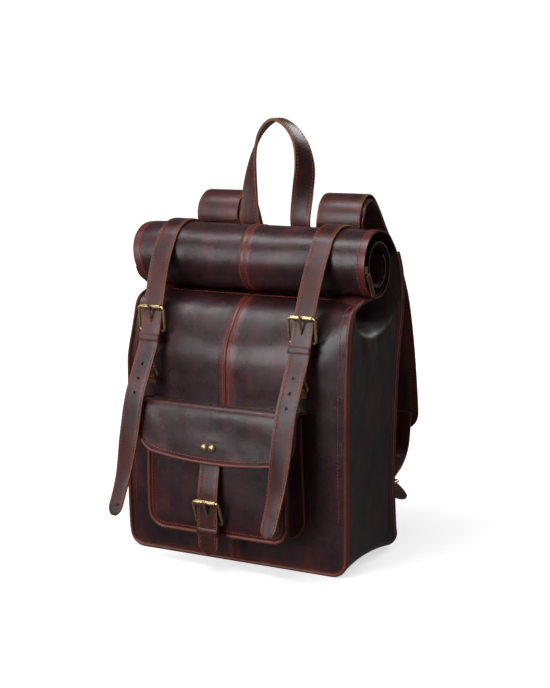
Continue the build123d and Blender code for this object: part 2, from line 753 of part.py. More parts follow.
# ---- The pocket's strap, buckle and magnetic snap ----
with BuildPart() as pocket_strap:
    x = POCKET_STRAP_X
    sheet(
        lambda: FilletPolyline(*POCKET_STRAP_POINTS, radius=POCKET_STRAP_RADIUS),
        POCKET_STRAP_THICKNESS, x - STRAP_WIDTH, x + STRAP_WIDTH,
    )
    top_z = POCKET_STRAP_POINTS[0][1] + SPARE
    keep_inside(leaning_strip(x, top_z, x, POCKET_STRAP_TIP_Z, STRAP_WIDTH))
    rivet_holes()
    prong_slot(POCKET, x)
finish(pocket_strap.part, "pocket_strap")

with BuildPart() as pocket_buckle_frame:
    buckle_frame(POCKET, POCKET_STRAP_X)
finish(pocket_buckle_frame.part, "pocket_buckle_frame")

with BuildPart() as pocket_buckle_roller:
    buckle_roller(POCKET, POCKET_STRAP_X)
finish(pocket_buckle_roller.part, "pocket_buckle_roller")

with BuildPart() as pocket_buckle_prong:
    buckle_prong(POCKET, POCKET_STRAP_X)
finish(pocket_buckle_prong.part, "pocket_buckle_prong")

with BuildPart() as pocket_keeper:
    keeper(POCKET, POCKET_STRAP_X)
finish(pocket_keeper.part, "pocket_keeper")

with BuildPart() as pocket_chape:
    chape(POCKET, POCKET_STRAP_X, POCKET_CHAPE_LOW)
    chape_cuts(POCKET, POCKET_STRAP_X)
finish(pocket_chape.part, "pocket_chape")

with BuildPart() as magnet_stud:
    disc(MAGNET_RADIUS, STUD_BACK_Y, STUD_FRONT_Y, POCKET_STRAP_X, MAGNET_Z)
finish(magnet_stud.part, "magnet_stud")

# ---- The carrying handle and the ends that are sewn to the back panel ----
with BuildPart() as top_handle:
    with BuildSketch(Plane.XZ.offset(-HANDLE_Y)):
        with BuildLine():
            FilletPolyline(*HANDLE_POINTS, radius=HANDLE_RADIUS)
            offset(amount=HANDLE_THICKNESS / 2, side=Side.BOTH)
        make_face()
    extrude(amount=HANDLE_WIDTH / 2, both=True)
    for x in (-HANDLE_LEG_X, HANDLE_LEG_X):
        with BuildSketch(Plane.YZ.offset(x)):
            with Locations((HANDLE_Y, HANDLE_HINGE_Z)):
                Circle(HANDLE_THICKNESS / 2)
                Rectangle(
                    HANDLE_THICKNESS, HANDLE_LEG_TOP - HANDLE_HINGE_Z, align=(Align.CENTER, Align.MIN)
                )
        extrude(amount=HANDLE_WIDTH / 2, both=True)
finish(top_handle.part, "top_handle")


def sewn_end(thickness, width, x):
    """A strap's end that lies on the curved top of the back panel."""
    radius = TOP_RADIUS + (LEATHER + thickness) / 2
    sheet(
        lambda: CenterArc(TOP_CENTRE, radius, SEWN_LOW_ANGLE, SEWN_HIGH_ANGLE - SEWN_LOW_ANGLE),
        thickness, x - width / 2, x + width / 2,
    )


with BuildPart() as handle_ends:
    for x in (-HANDLE_LEG_X, HANDLE_LEG_X):
        sewn_end(HANDLE_THICKNESS / 2, HANDLE_WIDTH, x)
finish(handle_ends.part, "handle_ends")

with BuildPart() as shoulder_strap_ends:
    for x in (-SHOULDER_TOP_X, SHOULDER_TOP_X):
        sewn_end(SHOULDER_SEWN_THICKNESS, SHOULDER_WIDTH, x)
finish(shoulder_strap_ends.part, "shoulder_strap_ends")

# ---- The shoulder straps, each with its lower strap and buckle ----
for side, suffix in ((-1, "left"), (1, "right")):
    with BuildPart() as shoulder_strap:
        sheet(
            lambda: FilletPolyline(*SHOULDER_POINTS, radius=SHOULDER_RADIUS),
            SHOULDER_THICKNESS, -REACH, REACH,
        )
        keep_inside(
            leaning_strip(
                side * SHOULDER_TOP_X, SHOULDER_TOP_Z,
                side * SHOULDER_LOW_X, SHOULDER_TIP_Z, SHOULDER_WIDTH,
            )
        )
    finish(shoulder_strap.part, f"shoulder_strap_{suffix}")

    x = side * LOWER_STRAP_X
    half = LOWER_STRAP_WIDTH / 2
    with BuildPart() as lower_strap:
        for points in (LOWER_STRAP_POINTS, LOWER_TAIL_POINTS):
            sheet(
                lambda: FilletPolyline(*points, radius=LOWER_STRAP_RADIUS),
                LOWER_STRAP_THICKNESS, x - half, x + half,
            )
        rod(*LOWER_BAR, LOWER_FOLD + LOWER_STRAP_THICKNESS / 2, x - half, x + half)
        rod(*LOWER_BAR, LOWER_FOLD - LOWER_STRAP_THICKNESS / 2, x - half, x + half, Mode.SUBTRACT)
    finish(lower_strap.part, f"lower_strap_{suffix}")

    with BuildPart() as lower_buckle:
        wide, tall = LOWER_BUCKLE_HALF
        buckle_plane = Plane.XY.offset(LOWER_BAR[1]).move(Location((x, LOWER_BAR[0] - tall, 0)))
        corners = [(-wide, -tall), (wide, -tall), (wide, tall), (-wide, tall)]
        wire_loop(buckle_plane, corners, FRAME_CORNER, WIRE)
    finish(lower_buckle.part, f"lower_buckle_{suffix}")

with BuildPart() as lower_strap_tabs:
    for x in (-LOWER_STRAP_X, LOWER_STRAP_X):
        sheet(
            lambda: FilletPolyline(*LOWER_TAB_POINTS, radius=LOWER_TAB_RADIUS),
            LEATHER, x - LOWER_TAB_WIDTH / 2, x + LOWER_TAB_WIDTH / 2,
        )
finish(lower_strap_tabs.part, "lower_strap_tabs")
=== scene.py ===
import math

import bmesh
import bpy
import numpy as np
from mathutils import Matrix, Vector, noise


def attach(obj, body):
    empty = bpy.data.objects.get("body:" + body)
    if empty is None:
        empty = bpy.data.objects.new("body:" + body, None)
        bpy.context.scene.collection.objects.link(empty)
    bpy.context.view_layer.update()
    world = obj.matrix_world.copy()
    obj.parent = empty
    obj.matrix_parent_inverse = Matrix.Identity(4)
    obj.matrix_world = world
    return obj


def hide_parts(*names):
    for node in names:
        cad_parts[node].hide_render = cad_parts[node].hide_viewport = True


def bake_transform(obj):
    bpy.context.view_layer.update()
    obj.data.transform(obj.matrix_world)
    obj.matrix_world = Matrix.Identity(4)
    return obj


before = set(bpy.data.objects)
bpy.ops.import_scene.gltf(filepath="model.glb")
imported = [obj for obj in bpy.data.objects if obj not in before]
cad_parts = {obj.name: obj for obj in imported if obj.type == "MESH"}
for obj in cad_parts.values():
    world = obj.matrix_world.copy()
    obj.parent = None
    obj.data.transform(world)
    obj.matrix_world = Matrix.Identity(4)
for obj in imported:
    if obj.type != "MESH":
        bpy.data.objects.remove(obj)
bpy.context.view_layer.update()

# Looks of the roll-top leather backpack. Lengths are in millimetres until a mesh is made.
MM = 0.001

# ---------------------------------------------------------------- node materials


def new_material(name):
    material = bpy.data.materials.new(name)
    material.use_nodes = True
    tree = material.node_tree
    return material, tree, tree.nodes["Principled BSDF"]


def object_noise(tree, scale, detail=3.0, roughness=0.55, stretch=(1, 1, 1)):
    """A noise texture in the object's own metres."""
    coords = tree.nodes.new("ShaderNodeTexCoord")
    mapping = tree.nodes.new("ShaderNodeMapping")
    mapping.inputs["Scale"].default_value = stretch
    texture = tree.nodes.new("ShaderNodeTexNoise")
    texture.inputs["Scale"].default_value = scale
    texture.inputs["Detail"].default_value = detail
    texture.inputs["Roughness"].default_value = roughness
    tree.links.new(coords.outputs["Object"], mapping.inputs["Vector"])
    tree.links.new(mapping.outputs["Vector"], texture.inputs["Vector"])
    return texture.outputs["Fac"]


def remap(tree, value, low, high, to_low, to_high):
    node = tree.nodes.new("ShaderNodeMapRange")
    for socket, number in zip(("From Min", "From Max", "To Min", "To Max"), (low, high, to_low, to_high)):
        node.inputs[socket].default_value = number
    tree.links.new(value, node.inputs["Value"])
    return node.outputs["Result"]


def mix_colour(tree, share, first, second):
    node = tree.nodes.new("ShaderNodeMix")
    node.data_type = "RGBA"
    inputs = (node.inputs["Factor"], node.inputs["A"], node.inputs["B"])
    for socket, value in zip(inputs, (share, first, second)):
        if isinstance(value, bpy.types.NodeSocket):
            tree.links.new(value, socket)
        else:
            socket.default_value = (*value, 1.0) if isinstance(value, tuple) else value
    return node.outputs["Result"]


def math_node(tree, operation, first, second):
    node = tree.nodes.new("ShaderNodeMath")
    node.operation = operation
    for socket, value in zip(node.inputs, (first, second)):
        if isinstance(value, bpy.types.NodeSocket):
            tree.links.new(value, socket)
        else:
            socket.default_value = value
    return node.outputs["Value"]


def add_bump(tree, shader, layers):
    """Stacks bumps: each layer is (height socket, distance in millimetres)."""
    last = None
    for height, distance in layers:
        bump = tree.nodes.new("ShaderNodeBump")
        bump.inputs["Strength"].default_value = 1.0
        bump.inputs["Distance"].default_value = distance * MM
        tree.links.new(height, bump.inputs["Height"])
        if last:
            tree.links.new(last, bump.inputs["Normal"])
        last = bump.outputs["Normal"]
    tree.links.new(last, shader.inputs["Normal"])


def grain_cells(tree, cells_per_metre):
    coords = tree.nodes.new("ShaderNodeTexCoord")
    cells = tree.nodes.new("ShaderNodeTexVoronoi")
    cells.feature = "DISTANCE_TO_EDGE"
    cells.inputs["Scale"].default_value = cells_per_metre
    tree.links.new(coords.outputs["Object"], cells.inputs["Vector"])
    return remap(tree, cells.outputs["Distance"], 0.0, 0.22, 0.0, 1.0)


def diagonal_waves(tree, scale):
    coords = tree.nodes.new("ShaderNodeTexCoord")
    waves = tree.nodes.new("ShaderNodeTexWave")
    waves.bands_direction = "DIAGONAL"
    waves.inputs["Scale"].default_value = scale
    tree.links.new(coords.outputs["Object"], waves.inputs["Vector"])
    return waves.outputs["Fac"]


def leather(name, dark, light, worn, rough=(0.3, 0.46), wrinkle=0.35, coat=0.25, mottle=14):
    """Waxed pull-up leather: mottled, with pale drag marks, worn red-brown where the wear attribute says."""
    material, tree, shader = new_material(name)
    mottling = remap(tree, object_noise(tree, mottle, 4, 0.6), 0.35, 0.68, 0.0, 1.0)
    drag = remap(tree, object_noise(tree, 55, 5, 0.65, (1, 1, 0.35)), 0.45, 0.75, 0.0, 0.55)
    body = mix_colour(tree, mottling, dark, light)
    marked = mix_colour(tree, math_node(tree, "MULTIPLY", drag, mottling), body, worn)
    attribute = tree.nodes.new("ShaderNodeAttribute")
    attribute.attribute_name = "wear"
    patchy = remap(tree, object_noise(tree, 120, 3, 0.6), 0.3, 0.7, 0.55, 1.15)
    wear = math_node(tree, "MULTIPLY", attribute.outputs["Fac"], patchy)
    tree.links.new(mix_colour(tree, wear, marked, worn), shader.inputs["Base Color"])
    gloss = remap(tree, object_noise(tree, 40, 4, 0.6), 0.3, 0.7, rough[0], rough[1])
    tree.links.new(gloss, shader.inputs["Roughness"])
    shader.inputs["Coat Weight"].default_value = coat
    shader.inputs["Coat Roughness"].default_value = 0.28
    shader.inputs["Specular IOR Level"].default_value = 0.5
    dents = object_noise(tree, 11, 1, 0.4, (1, 1, 1.3))
    creases = object_noise(tree, 34, 3, 0.5, (1, 1, 1.3))
    add_bump(tree, shader, [
        (dents, wrinkle * 9),
        (creases, wrinkle * 1.1),
        (grain_cells(tree, 900), 0.05),
        (object_noise(tree, 700), 0.07),
    ])
    return material


def raw_edge(name, pale, dark):
    """A cut leather edge: fibrous, paler than the face."""
    material, tree, shader = new_material(name)
    fibres = remap(tree, object_noise(tree, 260, 4, 0.7), 0.3, 0.7, 0.0, 1.0)
    tree.links.new(mix_colour(tree, fibres, pale, dark), shader.inputs["Base Color"])
    shader.inputs["Roughness"].default_value = 0.7
    add_bump(tree, shader, [(object_noise(tree, 900, 4), 0.1)])
    return material


def sewing_thread(name, colour, shade):
    """Waxed thread with its twist."""
    material, tree, shader = new_material(name)
    uneven = remap(tree, object_noise(tree, 60), 0.3, 0.7, 0.0, 1.0)
    tree.links.new(mix_colour(tree, uneven, colour, shade), shader.inputs["Base Color"])
    shader.inputs["Roughness"].default_value = 0.55
    add_bump(tree, shader, [(diagonal_waves(tree, 450), 0.12)])
    return material


def brass(name, bright, tarnish):
    """Antique brass: bright on the rubbed places and brown in the rest."""
    material, tree, shader = new_material(name)
    patina = remap(tree, object_noise(tree, 180, 5, 0.65), 0.36, 0.66, 0.0, 1.0)
    tree.links.new(mix_colour(tree, patina, bright, tarnish), shader.inputs["Base Color"])
    shader.inputs["Metallic"].default_value = 1.0
    tree.links.new(remap(tree, object_noise(tree, 240, 4), 0.3, 0.7, 0.22, 0.42), shader.inputs["Roughness"])
    add_bump(tree, shader, [(object_noise(tree, 500, 4), 0.05)])
    return material


def woven(name, colour, shade):
    """Plain lining cloth, with its threads as fine ridges."""
    material, tree, shader = new_material(name)
    threads = diagonal_waves(tree, 400)
    tree.links.new(mix_colour(tree, threads, colour, shade), shader.inputs["Base Color"])
    shader.inputs["Roughness"].default_value = 0.85
    add_bump(tree, shader, [(threads, 0.2)])
    return material


PLUM = (0.022, 0.0078, 0.0102)
PLUM_LIGHT = (0.050, 0.017, 0.020)
RED_BROWN = (0.19, 0.034, 0.021)
BODY_LEATHER = leather("body_leather", PLUM, PLUM_LIGHT, RED_BROWN, (0.22, 0.38), 0.5, 0.35)
GUSSET_LEATHER = leather(
    "gusset_leather", (0.021, 0.0072, 0.0092), (0.040, 0.013, 0.0155), RED_BROWN, (0.32, 0.48), coat=0.15)
STRAP_LEATHER = leather(
    "strap_leather", (0.022, 0.0068, 0.0068), (0.088, 0.0185, 0.013), RED_BROWN, (0.26, 0.5), 0.22, 0.35, 36)
KEEPER_LEATHER = leather(
    "keeper_leather", (0.018, 0.006, 0.0065), (0.046, 0.012, 0.011), RED_BROWN, (0.28, 0.42), 0.3, 0.3)
PIPING_LEATHER = leather(
    "piping_leather", (0.085, 0.018, 0.013), (0.19, 0.040, 0.024), (0.30, 0.085, 0.05), (0.36, 0.56), 0.15)
TAN_EDGE = raw_edge("tan_edge", (0.42, 0.19, 0.095), (0.22, 0.08, 0.04))
DARK_EDGE = raw_edge("dark_edge", (0.16, 0.05, 0.03), (0.06, 0.02, 0.015))
THREAD = sewing_thread("orange_thread", (0.58, 0.13, 0.05), (0.36, 0.07, 0.03))
BRASS = brass("antique_brass", (0.82, 0.64, 0.33), (0.44, 0.31, 0.14))
LINING = woven("lining", (0.045, 0.03, 0.026), (0.03, 0.02, 0.018))

# ---------------------------------------------------------------- lines and meshes


def unit(v):
    v = np.asarray(v, float)
    return v / np.maximum(np.linalg.norm(v, axis=-1, keepdims=True), 1e-9)


def smoothstep(t):
    t = np.clip(t, 0, 1)
    return t * t * (3 - 2 * t)


def dense_curve(points, per_run=16):
    """A smooth curve through the points, the same number of steps in every run."""
    p = np.array(points, float)
    p = np.vstack([2 * p[0] - p[1], p, 2 * p[-1] - p[-2]])
    t = np.linspace(0, 1, per_run, endpoint=False)[:, None]
    runs = [
        0.5 * (2 * b + (c - a) * t + (2 * a - 5 * b + 4 * c - d) * t**2 + (3 * b - a - 3 * c + d) * t**3)
        for a, b, c, d in zip(p, p[1:], p[2:], p[3:])
    ]
    return np.vstack([*runs, p[-2][None]])


def lengths(path):
    return np.concatenate([[0], np.cumsum(np.linalg.norm(np.diff(path, axis=0), axis=1))])


def at_lengths(path, where):
    s = lengths(path)
    return np.stack([np.interp(where, s, path[:, k]) for k in range(path.shape[1])], 1)


def even(path, step):
    total = lengths(path)[-1]
    return at_lengths(path, np.linspace(0, total, max(3, int(round(total / step)) + 1)))


def curve(points, step=2.5):
    return even(dense_curve(points), step)


def arc(centre, radius, start, end, step=5):
    """Points of an arc in the side view (Y, Z) or the front view (X, Z), by angle from the first axis."""
    angles = np.radians(np.linspace(start, end, max(3, int(abs(end - start) / step) + 1)))
    return np.stack([centre[0] + radius * np.cos(angles), centre[1] + radius * np.sin(angles)], 1)


def circle(count):
    """Points round a circle of radius 1."""
    angles = np.linspace(0, 2 * math.pi, count, endpoint=False)
    return np.stack([np.cos(angles), np.sin(angles)], 1)


def at_x(path, x):
    """A side-view path as points in space."""
    path = np.asarray(path, float)
    return np.column_stack([np.broadcast_to(x, len(path)), path])


def across(path, x):
    """A side-view path carried straight across the bag."""
    surface = np.zeros((len(path), len(x), 3))
    surface[..., 0] = x
    surface[..., 1:] = path[:, None]
    return surface


def rough(points, scale, seed=0.0):
    """Smooth noise from -1 to 1 at each point, for wavelengths of about scale millimetres."""
    shift = Vector((seed, seed * 1.7, 3.1))
    flat = np.asarray(points, float).reshape(-1, 3) / scale
    return np.array([noise.noise(Vector(p) + shift) for p in flat]).reshape(np.shape(points)[:-1])


SHARP_DEGREES = 40


class Piece:
    """Collects the surfaces of one piece, then makes its mesh. A strap's materials are the usual ones."""

    def __init__(self, name, *materials):
        self.name = f"{name}_made"
        self.materials = materials or (STRAP_LEATHER, TAN_EDGE, THREAD)
        self.points, self.faces, self.slots, self.wear = [], [], [], []
        self.count = 0

    def add(self, points, faces, slot=0, wear=0.0):
        points = np.asarray(points, float).reshape(-1, 3)
        self.points.append(points)
        self.faces += [tuple(int(i) + self.count for i in f) for f in faces]
        self.slots += list(slot) if hasattr(slot, "__len__") else [slot] * len(faces)
        self.wear.append(np.broadcast_to(np.asarray(wear, float).reshape(-1), len(points)))
        self.count += len(points)

    def make(self, body, *nodes, slot=None, lean=None):
        """Builds the mesh, which rides a body if one is given and stands in for the CAD nodes named."""
        mesh = bpy.data.meshes.new(self.name)
        points = np.vstack(self.points)
        if lean:
            points = lean(points)
        mesh.from_pydata((points * MM).tolist(), [], self.faces)
        for material in self.materials:
            mesh.materials.append(material)
        mesh.polygons.foreach_set("material_index", self.slots)
        mesh.attributes.new("wear", "FLOAT", "POINT").data.foreach_set(
            "value", np.concatenate(self.wear).astype(np.float32)
        )
        bm = bmesh.new()
        bm.from_mesh(mesh)
        bmesh.ops.recalc_face_normals(bm, faces=bm.faces)
        bm.to_mesh(mesh)
        bm.free()
        mesh.shade_smooth()
        mesh.set_sharp_from_angle(angle=math.radians(SHARP_DEGREES))
        piece = bpy.data.objects.new(self.name, mesh)
        bpy.context.scene.collection.objects.link(piece)
        if body:
            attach(piece, body)
        if nodes:
            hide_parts(*nodes)
        return piece


def grid_faces(rows, cols, wrap_rows=False, wrap_cols=False):
    faces = []
    for r in range(rows if wrap_rows else rows - 1):
        for c in range(cols if wrap_cols else cols - 1):
            r2, c2 = (r + 1) % rows, (c + 1) % cols
            faces.append((r * cols + c, r * cols + c2, r2 * cols + c2, r2 * cols + c))
    return faces


def end_fans(rows, cols):
    """Closes both ends of a tube of rings onto the two points that follow them."""
    count = rows * cols
    first = [(i, (i + 1) % cols, count) for i in range(cols)]
    last = count - cols
    return first + [(last + (i + 1) % cols, last + i, count + 1) for i in range(cols)]


def add_shell(piece, surface, thickness, inward, wear=0.0):
    """A sheet of leather: its shown surface and its back in slot 0, and its cut edge all round in slot 1."""
    rows, cols = surface.shape[:2]
    normal = unit(np.cross(np.gradient(surface, axis=0), np.gradient(surface, axis=1)))
    if np.dot(normal[rows // 2, cols // 2], inward) < 0:
        normal = -normal
    back = surface + normal * thickness
    n = rows * cols
    front_faces = grid_faces(rows, cols)
    back_faces = [tuple(i + n for i in reversed(f)) for f in front_faces]
    index = np.arange(n).reshape(rows, cols)
    loop = [*index[0], *index[1:, -1], *index[-1, -2::-1], *index[-2:0:-1, 0]]
    rim = [(a, b, b + n, a + n) for a, b in zip(loop, loop[1:] + loop[:1])]
    worn = np.broadcast_to(wear, (rows, cols)).reshape(-1)
    points = np.vstack([surface.reshape(-1, 3), back.reshape(-1, 3)])
    slots = [0] * (2 * len(front_faces)) + [1] * len(rim)
    piece.add(points, front_faces + back_faces + rim, slots, np.concatenate([worn, worn]))


def mirrored(points):
    """Half of a section, up to its middle point, then the same again on the other side."""
    return points + [(-a, b) for a, b in reversed(points[:-1])]


def strap_section(width, thickness):
    """A flat strap's section, with a creased line along each edge. Points and which runs are cut edge."""
    w, t = width / 2, thickness / 2
    crease = [(-w + 0.7, t - 0.08), (-w + 1.4, t), (-w + 2.1, t - 0.16), (-w + 2.9, t)]
    top = mirrored([*crease, (-w * 0.4, t + 0.1), (0, t + 0.12)])
    low = mirrored([(w, t - 0.5), (w, -t + 0.5), (w - 0.35, -t), (0, -t)])
    count = len(top) + len(low)
    cut_runs = {len(top) - 1, len(top), len(top) + 1, count - 3, count - 2, count - 1}
    return np.array(top + low), cut_runs


def pad_section(width, thickness):
    """A padded strap's section: a full middle and a flat seam along each edge."""
    w, t = width / 2, thickness / 2
    seam = [(-w, 1.2), (-w + 1.5, 1.7), (-w + 4.5, 1.9), (-w + 6, 2.3)]
    top = mirrored([*seam, (-w + 9, t * 0.72), (-w + 15, t * 0.95), (0, t)])
    section = top + [(a, -b) for a, b in reversed(top)]
    return np.array(section), {len(top) - 1, len(section) - 1}


def path_frame(path, side, closed=False):
    """Side and normal at each point of a path, with the side squared to the path."""
    if closed:
        tangent = unit(np.roll(path, -1, axis=0) - np.roll(path, 1, axis=0))
    else:
        tangent = unit(np.gradient(path, axis=0))
    side = np.broadcast_to(np.asarray(side, float), path.shape)
    side = unit(side - tangent * np.sum(side * tangent, axis=1, keepdims=True))
    return side, np.cross(side, tangent)


def sweep(piece, path, frame_at, section, cut_runs=(), scale=1.0, lift=1.0, closed=False, wear=0.3, edge=0):
    """Carries a section along a path. scale narrows it and lift thins it, at each point."""
    side, normal = frame_at
    n, k = len(path), len(section)
    scale = np.broadcast_to(scale, n)[:, None, None]
    lift = np.broadcast_to(lift, n)[:, None, None]
    rings = path[:, None] + side[:, None] * section[:, :1] * scale + normal[:, None] * section[:, 1:] * lift
    faces = grid_faces(n, k, wrap_rows=closed, wrap_cols=True)
    marks = [edge if f[0] % k in cut_runs else 0 for f in faces]
    points = rings.reshape(-1, 3)
    wear = np.broadcast_to(wear, n * k)
    if not closed:
        points = np.vstack([points, rings[0].mean(0), rings[-1].mean(0)])
        wear = np.append(wear, [0.5, 0.5])
        faces += end_fans(n, k)
        marks += [edge] * (2 * k)
    piece.add(points, faces, marks, wear)


def add_strap(piece, path, side, section, cut_runs, scale=1.0, lift=1.0, closed=False, wear=None):
    """A strap along a path, worn along its edges unless told how worn it is."""
    frame_at = path_frame(path, side, closed)
    if wear is None:
        inner = np.abs(section[:, 0]).max() - np.abs(section[:, 0])
        wear = np.tile(np.exp(-inner / 2.6) * 0.75, len(path))
    sweep(piece, path, frame_at, section, cut_runs, scale, lift, closed, wear, edge=1)
    return frame_at


def sewn_strap(piece, path, side, width, thickness, first, last, tip=False, faces=(1,)):
    """A flat strap with two rows of stitches on its face, or on both faces."""
    section, cut_runs = strap_section(width, thickness)
    frame_at = add_strap(piece, path, side, section, cut_runs, scale=round_tip(path, width) if tip else 1.0)
    for face in faces:
        add_edge_stitches(piece, path, frame_at, width, thickness, first, last, face=face)


def round_tip(path, width):
    """How much of a strap's width is left at each point, with a round tip at its end."""
    s = lengths(path)
    near = np.clip((s[-1] - s) / (width / 2), 0, 1)
    return np.sqrt(np.clip(1 - (1 - near) ** 2, 0.02, 1))


def tip_path(path, width):
    """Adds points near a path's end, so that a round tip is drawn finely."""
    s = lengths(path)
    fine = s[-1] - width / 2 * (1 - np.sin(np.linspace(0, math.pi / 2, 10)))
    where = np.concatenate([s[s < s[-1] - width / 2], fine])
    return at_lengths(path, np.unique(np.round(where, 4)))


TUBE_SIDES = 10
TUBE_UP = (0.31, 0.11, 0.94)


def add_tube(piece, path, radius, wear=0.3):
    """A round bead along a path, carried round its bends without twist."""
    tangent = unit(np.gradient(path, axis=0))
    side = [unit(np.cross(tangent[0], TUBE_UP))]
    for t in tangent[1:]:
        side.append(unit(side[-1] - t * np.dot(side[-1], t)))
    side = np.array(side)
    sweep(piece, path, (side, np.cross(side, tangent)), circle(TUBE_SIDES) * radius, wear=wear)


STITCH_RINGS = 5
STITCH_SIDES = 6
STITCH_INSET = 3.2


def add_stitches(piece, path, normal, slot, pitch=4.0, length=3.0, radius=0.5):
    """A row of stitches along a path that lies on the leather: each is a short round-ended thread."""
    s = lengths(path)
    count = max(1, int(s[-1] / pitch))
    where = (np.arange(count) + 0.5) * s[-1] / count
    centre = at_lengths(path, where)
    tangent = unit(at_lengths(path, where + 0.5) - at_lengths(path, where - 0.5))
    up = unit(at_lengths(np.column_stack([path, np.broadcast_to(normal, path.shape)]), where)[:, 3:])
    across = unit(np.cross(up, tangent))
    along = np.linspace(-1, 1, STITCH_RINGS)
    swell = np.sqrt(np.clip(1 - along**2, 0.06, 1)) ** 0.7
    offsets = []
    for a, w in zip(along, swell):
        sunk = radius * 0.25 - 0.25 * a * a
        for u, v in circle(STITCH_SIDES):
            offsets.append((a * length / 2, u * radius * w, v * radius * w + sunk))
    offsets = np.array(offsets)
    points = (
        centre[:, None]
        + tangent[:, None] * offsets[None, :, :1]
        + across[:, None] * offsets[None, :, 1:2]
        + up[:, None] * offsets[None, :, 2:]
    )
    ring = grid_faces(STITCH_RINGS, STITCH_SIDES, wrap_cols=True)
    each = STITCH_RINGS * STITCH_SIDES
    ring += [tuple(range(STITCH_SIDES)), tuple(range(each - STITCH_SIDES, each))]
    faces = [tuple(i + each * k for i in f) for k in range(count) for f in ring]
    piece.add(points, faces, slot, 0.0)


def add_edge_stitches(piece, path, frame_at, width, thickness, first=0.0, last=0.0, slot=2, face=1):
    """Two rows of stitches on a strap's face, between two distances from its ends."""
    side, normal = frame_at
    normal = normal * face
    s = lengths(path)
    keep = (s >= first) & (s <= s[-1] - last)
    for edge in (-1, 1):
        row = path + side * edge * (width / 2 - STITCH_INSET) + normal * (thickness / 2 - 0.1)
        add_stitches(piece, row[keep], normal[keep], slot, 4.2, 3.0, 0.48)


# ---------------------------------------------------------------- the bag's own shape

HALF_WIDTH = 150
HALF_TOP_WIDTH = 156
OUTLINE_TOP = 420
CORNER = 20
INSET = 1.8
BEAD_RADIUS = 2.3
ROLL_Y = -11
ROLL_Z = 361
ROLL_RADIUS = 40.4
OUTER_TURN = (ROLL_Y, 354.85)
INNER_TURN = (ROLL_Y, 355)
BACK_CENTRE = (-11, 320)
BACK_RADIUS = 81.5

FRONT_MIDDLE = [
    (-70, 4), (-79.5, 90), (-88, 170), (-90.6, 225), (-89.3, 256), (-78, 281), (-57, 306), (-33, 317),
    (-13, 320),
]
FRONT_EDGE = [
    (-70, 4), (-74, 90), (-78, 170), (-79.5, 225), (-79, 262), (-77, 290), (-68, 311), (-44, 320), (-22, 322),
]
BACK_EDGE = [
    (69, 4), (57, 90), (57, 170), (59.5, 225), (64, 262), (69.5, 290), (70.5, 316), (66, 346), (54, 369),
]
front_middle = dense_curve(FRONT_MIDDLE, 12)
front_edge = dense_curve(FRONT_EDGE, 12)
back_edge = dense_curve(BACK_EDGE, 12)


def half_width(z):
    return HALF_WIDTH + (HALF_TOP_WIDTH - HALF_WIDTH) * np.asarray(z, float) / OUTLINE_TOP


def rounded_half_width(z, inset, bottom=0.0, corner=CORNER, straight=half_width):
    """Half of the outline's width at a height, round its bottom corners."""
    r = corner - inset
    up = np.clip(np.asarray(z, float) - bottom - inset, 0, r)
    return straight(z) - inset - r + np.sqrt(np.clip(r * r - (r - up) ** 2, 0, None))


def front_bulge(share):
    """How far towards the edge's line a point of the front is, from its share of the half width."""
    return np.abs(share) ** 2.4


def front_y(x, z):
    """Y of the front panel's face below its shoulder."""
    z = np.asarray(z, float)
    middle = np.interp(z, front_middle[:60, 1], front_middle[:60, 0])
    edge = np.interp(z, front_edge[:60, 1], front_edge[:60, 0])
    k = front_bulge(np.asarray(x, float) / half_width(z))
    return middle * (1 - k) + edge * k


SLOUCH_LOW = 8.5
SLOUCH_HIGH = 9


def slouch(points):
    """Draws the left side of the front inwards towards the top, where the roll pulls it in."""
    x, y, z = points.T
    share = np.clip(-x / HALF_WIDTH, 0, 1.1) ** 2 * smoothstep((20 - y) / 60)
    inward = SLOUCH_LOW * smoothstep((z - 40) / 200) + SLOUCH_HIGH * smoothstep((z - 232) / 65)
    return np.column_stack([x + inward * share, y, z])


